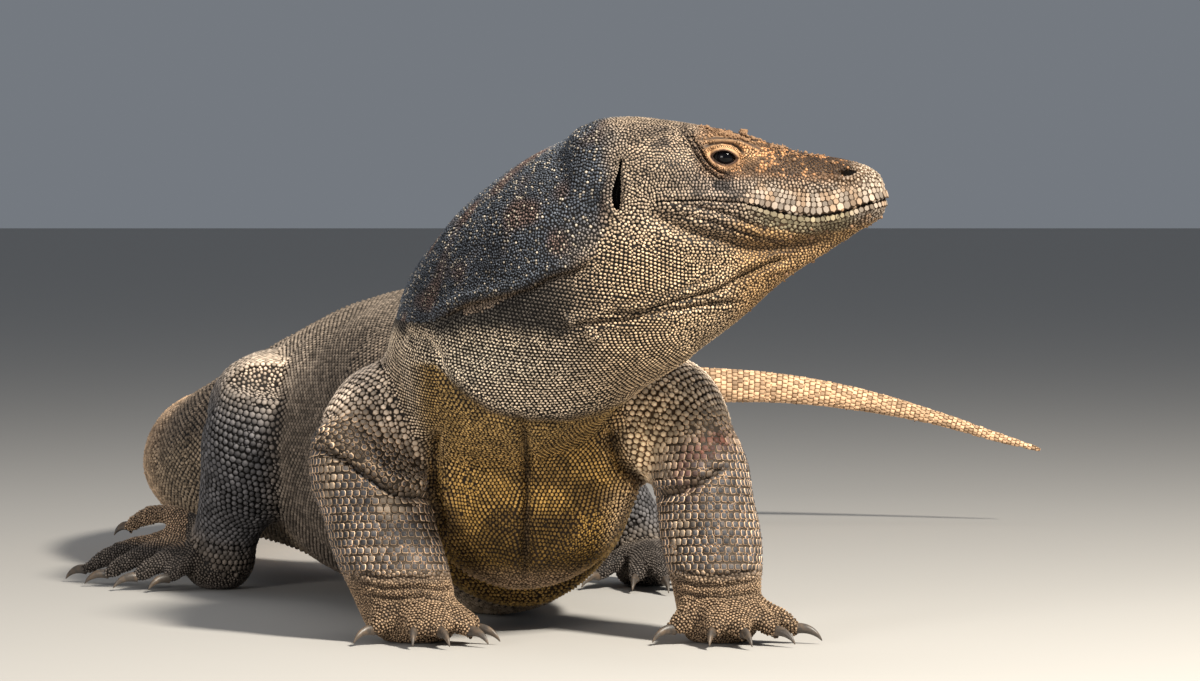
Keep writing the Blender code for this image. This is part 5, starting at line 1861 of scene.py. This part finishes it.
def mud_crumbs(skin, material):
    """Crumbs of dried mud on the snout, brow and chin: twenty-sided lumps, each corner moved at random."""
    draw = np.random.default_rng(23)
    back, side, high = head_place(skin.points)
    level = skin.normals[:, 2]
    top = ramp(0.55, 0.85, level) * ramp(0.150, 0.125, back) * ramp(0.030, 0.055, back)
    top = top * (1 + 5 * bell(back - 0.097, 0.022))
    flank = 0.25 * ramp(0.25, 0.6, level) * ramp(0.135, 0.11, back) * ramp(0.02, 0.04, back)
    chin = 0.12 * ramp(-0.35, -0.7, level) * ramp(0.12, 0.09, back)
    weight = np.maximum(top, flank) * (high > 0.022) * ramp(0.52, 0.68, mottle(skin.points, 0.009, 5)) + chin
    weight = weight * (skin.points[:, 0] > 0.15)
    chosen = draw.choice(len(weight), CRUMBS, p=weight / weight.sum())
    clump = bell(back - 0.1085, 0.0024, side + 0.010, 0.0030) * (high > 0.03)
    chosen[:CLUMPED] = draw.choice(len(weight), CLUMPED, p=clump / clump.sum())
    corners, faces = crumb_shape()
    size = 0.0005 + 0.0014 * draw.uniform(0, 1, CRUMBS) ** 4
    size[:CLUMPED] = draw.uniform(0.0008, 0.0019, CLUMPED)
    lift = np.where(np.arange(CRUMBS) < CLUMPED, draw.uniform(0, 0.0032, CRUMBS), 0)
    lumps = corners[None] * (1 + draw.normal(0, 0.22, (CRUMBS, len(corners), 1))) * size[:, None, None]
    lumps *= draw.uniform(0.65, 1.2, (CRUMBS, 1, 3))
    places = skin.points[chosen] + skin.normals[chosen] * (0.0009 + 0.35 * size + lift)[:, None]
    faces = faces[None] + np.arange(CRUMBS)[:, None, None] * len(corners)
    mesh = mesh_from("dried_mud", (places[:, None] + lumps).reshape(-1, 3), faces.reshape(-1, 3))
    mesh.materials.append(material)
    return placed("dried_mud", mesh)


def mud_material():
    """Dried mud: crumbly brown earth in two tones with a rough grain."""
    material, tree, shader = nodes_of("mud")
    place = object_place(tree)
    coarse, grain = noise(tree, place, 260, 3, 0.7), noise(tree, place, 1700, 4, 0.7)
    colour = mixed(tree, coarse, (0.12, 0.066, 0.034), (0.38, 0.220, 0.115))
    feed(shader.inputs["Base Color"], mixed(tree, 0.6, colour, grain, "OVERLAY"))
    feed(shader.inputs["Roughness"], grain * 0.2 + 0.75)
    bumped(tree, shader, grain, 0.6, 0.0006)
    return material


def soft_light(name, place, aim, size, power, colour):
    """A square lamp at a place, turned to what it lights."""
    data = bpy.data.lights.new(name, "AREA")
    data.size = size
    data.energy = power
    data.color = colour
    lamp = placed(name, data)
    lamp.location = place
    lamp.rotation_euler = (Vector(aim) - Vector(place)).to_track_quat("-Z", "Y").to_euler()


# ---------------------------------------------------------------- the model

fine_skin = build_skin()
skin_data = Skin(fine_skin)
skin_mesh = modified(fine_skin, ("DECIMATE", {"ratio": min(1.0, SKIN_TRIANGLES / len(fine_skin.polygons))}))
skin_mesh.name = "skin"
skin_mesh.shade_smooth()
skin_points = points_of(skin_mesh)
crowns, borders, dust = hide_colours(skin_points, normals_of(skin_mesh))
set_colour(skin_mesh, "crown", crowns)
set_colour(skin_mesh, "border", borders)
set_value(skin_mesh, "dust", dust)
skin_back, skin_side, skin_high = head_place(skin_points)
bare = on_lids(skin_back, skin_high) & (eye_ring(skin_back, skin_high) > 1.0)
bare &= (np.abs(skin_side) > 0.02) & (skin_back < 0.2)
set_value(skin_mesh, "edge", np.where(bare, 0.3, 1.0))
set_value(skin_mesh, "shade", np.full(len(crowns), 0.5))
markings = hide_group()
skin_mesh.materials.append(hide_material("skin", markings, True))
skin_piece = placed("skin", skin_mesh)
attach(skin_piece, "root")
flesh_nodes = [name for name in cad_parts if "claw" not in name and "eye" not in name]
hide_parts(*flesh_nodes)

roots = grow_coat(skin_data)
roots["crown"], roots["border"], roots["dust"] = hide_colours(roots["places"], roots["normals"])
scale_hide = hide_material("scales", markings, False)
# The first of these words in a piece's name picks a slot, which the loop below works out but does not give to the
# piece.
SLOTS = {
    **dict.fromkeys(("head", "jaw", "nape", "neck", "throat"), "head_skin"),
    "tail": "tail_skin",
    **dict.fromkeys(("hand", "foot"), "foot_skin"),
    **dict.fromkeys(("arm", "leg"), "leg_skin"),
}
for piece_name, chosen in pieces_of_coat(roots).items():
    piece = scales_mesh(piece_name, roots, chosen, scale_hide)
    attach(piece, "root")
    next((slot for word, slot in SLOTS.items() if word in piece_name), "body_skin")

mud = mud_crumbs(skin_data, mud_material())
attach(mud, "root")
horn = horn_material()
for foot, (root, _, toes) in FEET.items():
    for i, (*tip, _) in enumerate(toes):
        rings, share = claw_points(root, tip)
        claw = piece_from_rings(f"{foot}_claw_{i + 1}_horn", rings, horn, np.clip(share, 0, 1))
        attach(claw, "root")
        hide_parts(f"{foot}_claw_{i + 1}")
wet = eye_material()
for word, side in (("right", -1), ("left", 1)):
    rings, value = eye_rings(side)
    eye = piece_from_rings(f"{word}_eyeball", rings, wet, value)
    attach(eye, "root")
    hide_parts(f"{word}_eye")

# ---------------------------------------------------------------- floor, light and camera

floor_mesh = bpy.data.meshes.new("floor")
floor_mesh.from_pydata([(-30, -30, 0), (30, -30, 0), (30, 30, 0), (-30, 30, 0)], [], [(0, 1, 2, 3)])
floor_mesh.materials.append(plain_material("pale_floor", (0.42, 0.405, 0.385), 0.9))
floor = placed("floor", floor_mesh)

soft_light("key", (1.63, -1.88, 2.35), (0.10, -0.28, 0.22), 0.4, 222, (1.0, 0.94, 0.83))
soft_light("fill", (-1.9, -2.9, 0.85), (0.05, -0.3, 0.2), 1.0, 42, (1.0, 0.96, 0.91))
soft_light("top", (-0.3, 0.6, 2.6), (0.0, 0.2, 0.1), 1.8, 12, (1.0, 0.98, 0.95))

world = bpy.data.worlds.new("studio")
world.use_nodes = True
sky = world.node_tree.nodes["Background"].inputs
sky["Color"].default_value = (0.73, 0.80, 0.90, 1)
sky["Strength"].default_value = 0.24
bpy.context.scene.world = world
bpy.context.scene.view_settings.view_transform = "Standard"

camera_data = bpy.data.cameras.new("camera")
camera_data.lens = 152.1
camera_data.sensor_width = 36
camera = placed("camera", camera_data)
camera.location = (0.12, -4.25, 0.36)
camera.rotation_euler = (math.radians(90 - 1.87), 0, 0)
bpy.context.scene.camera = camera
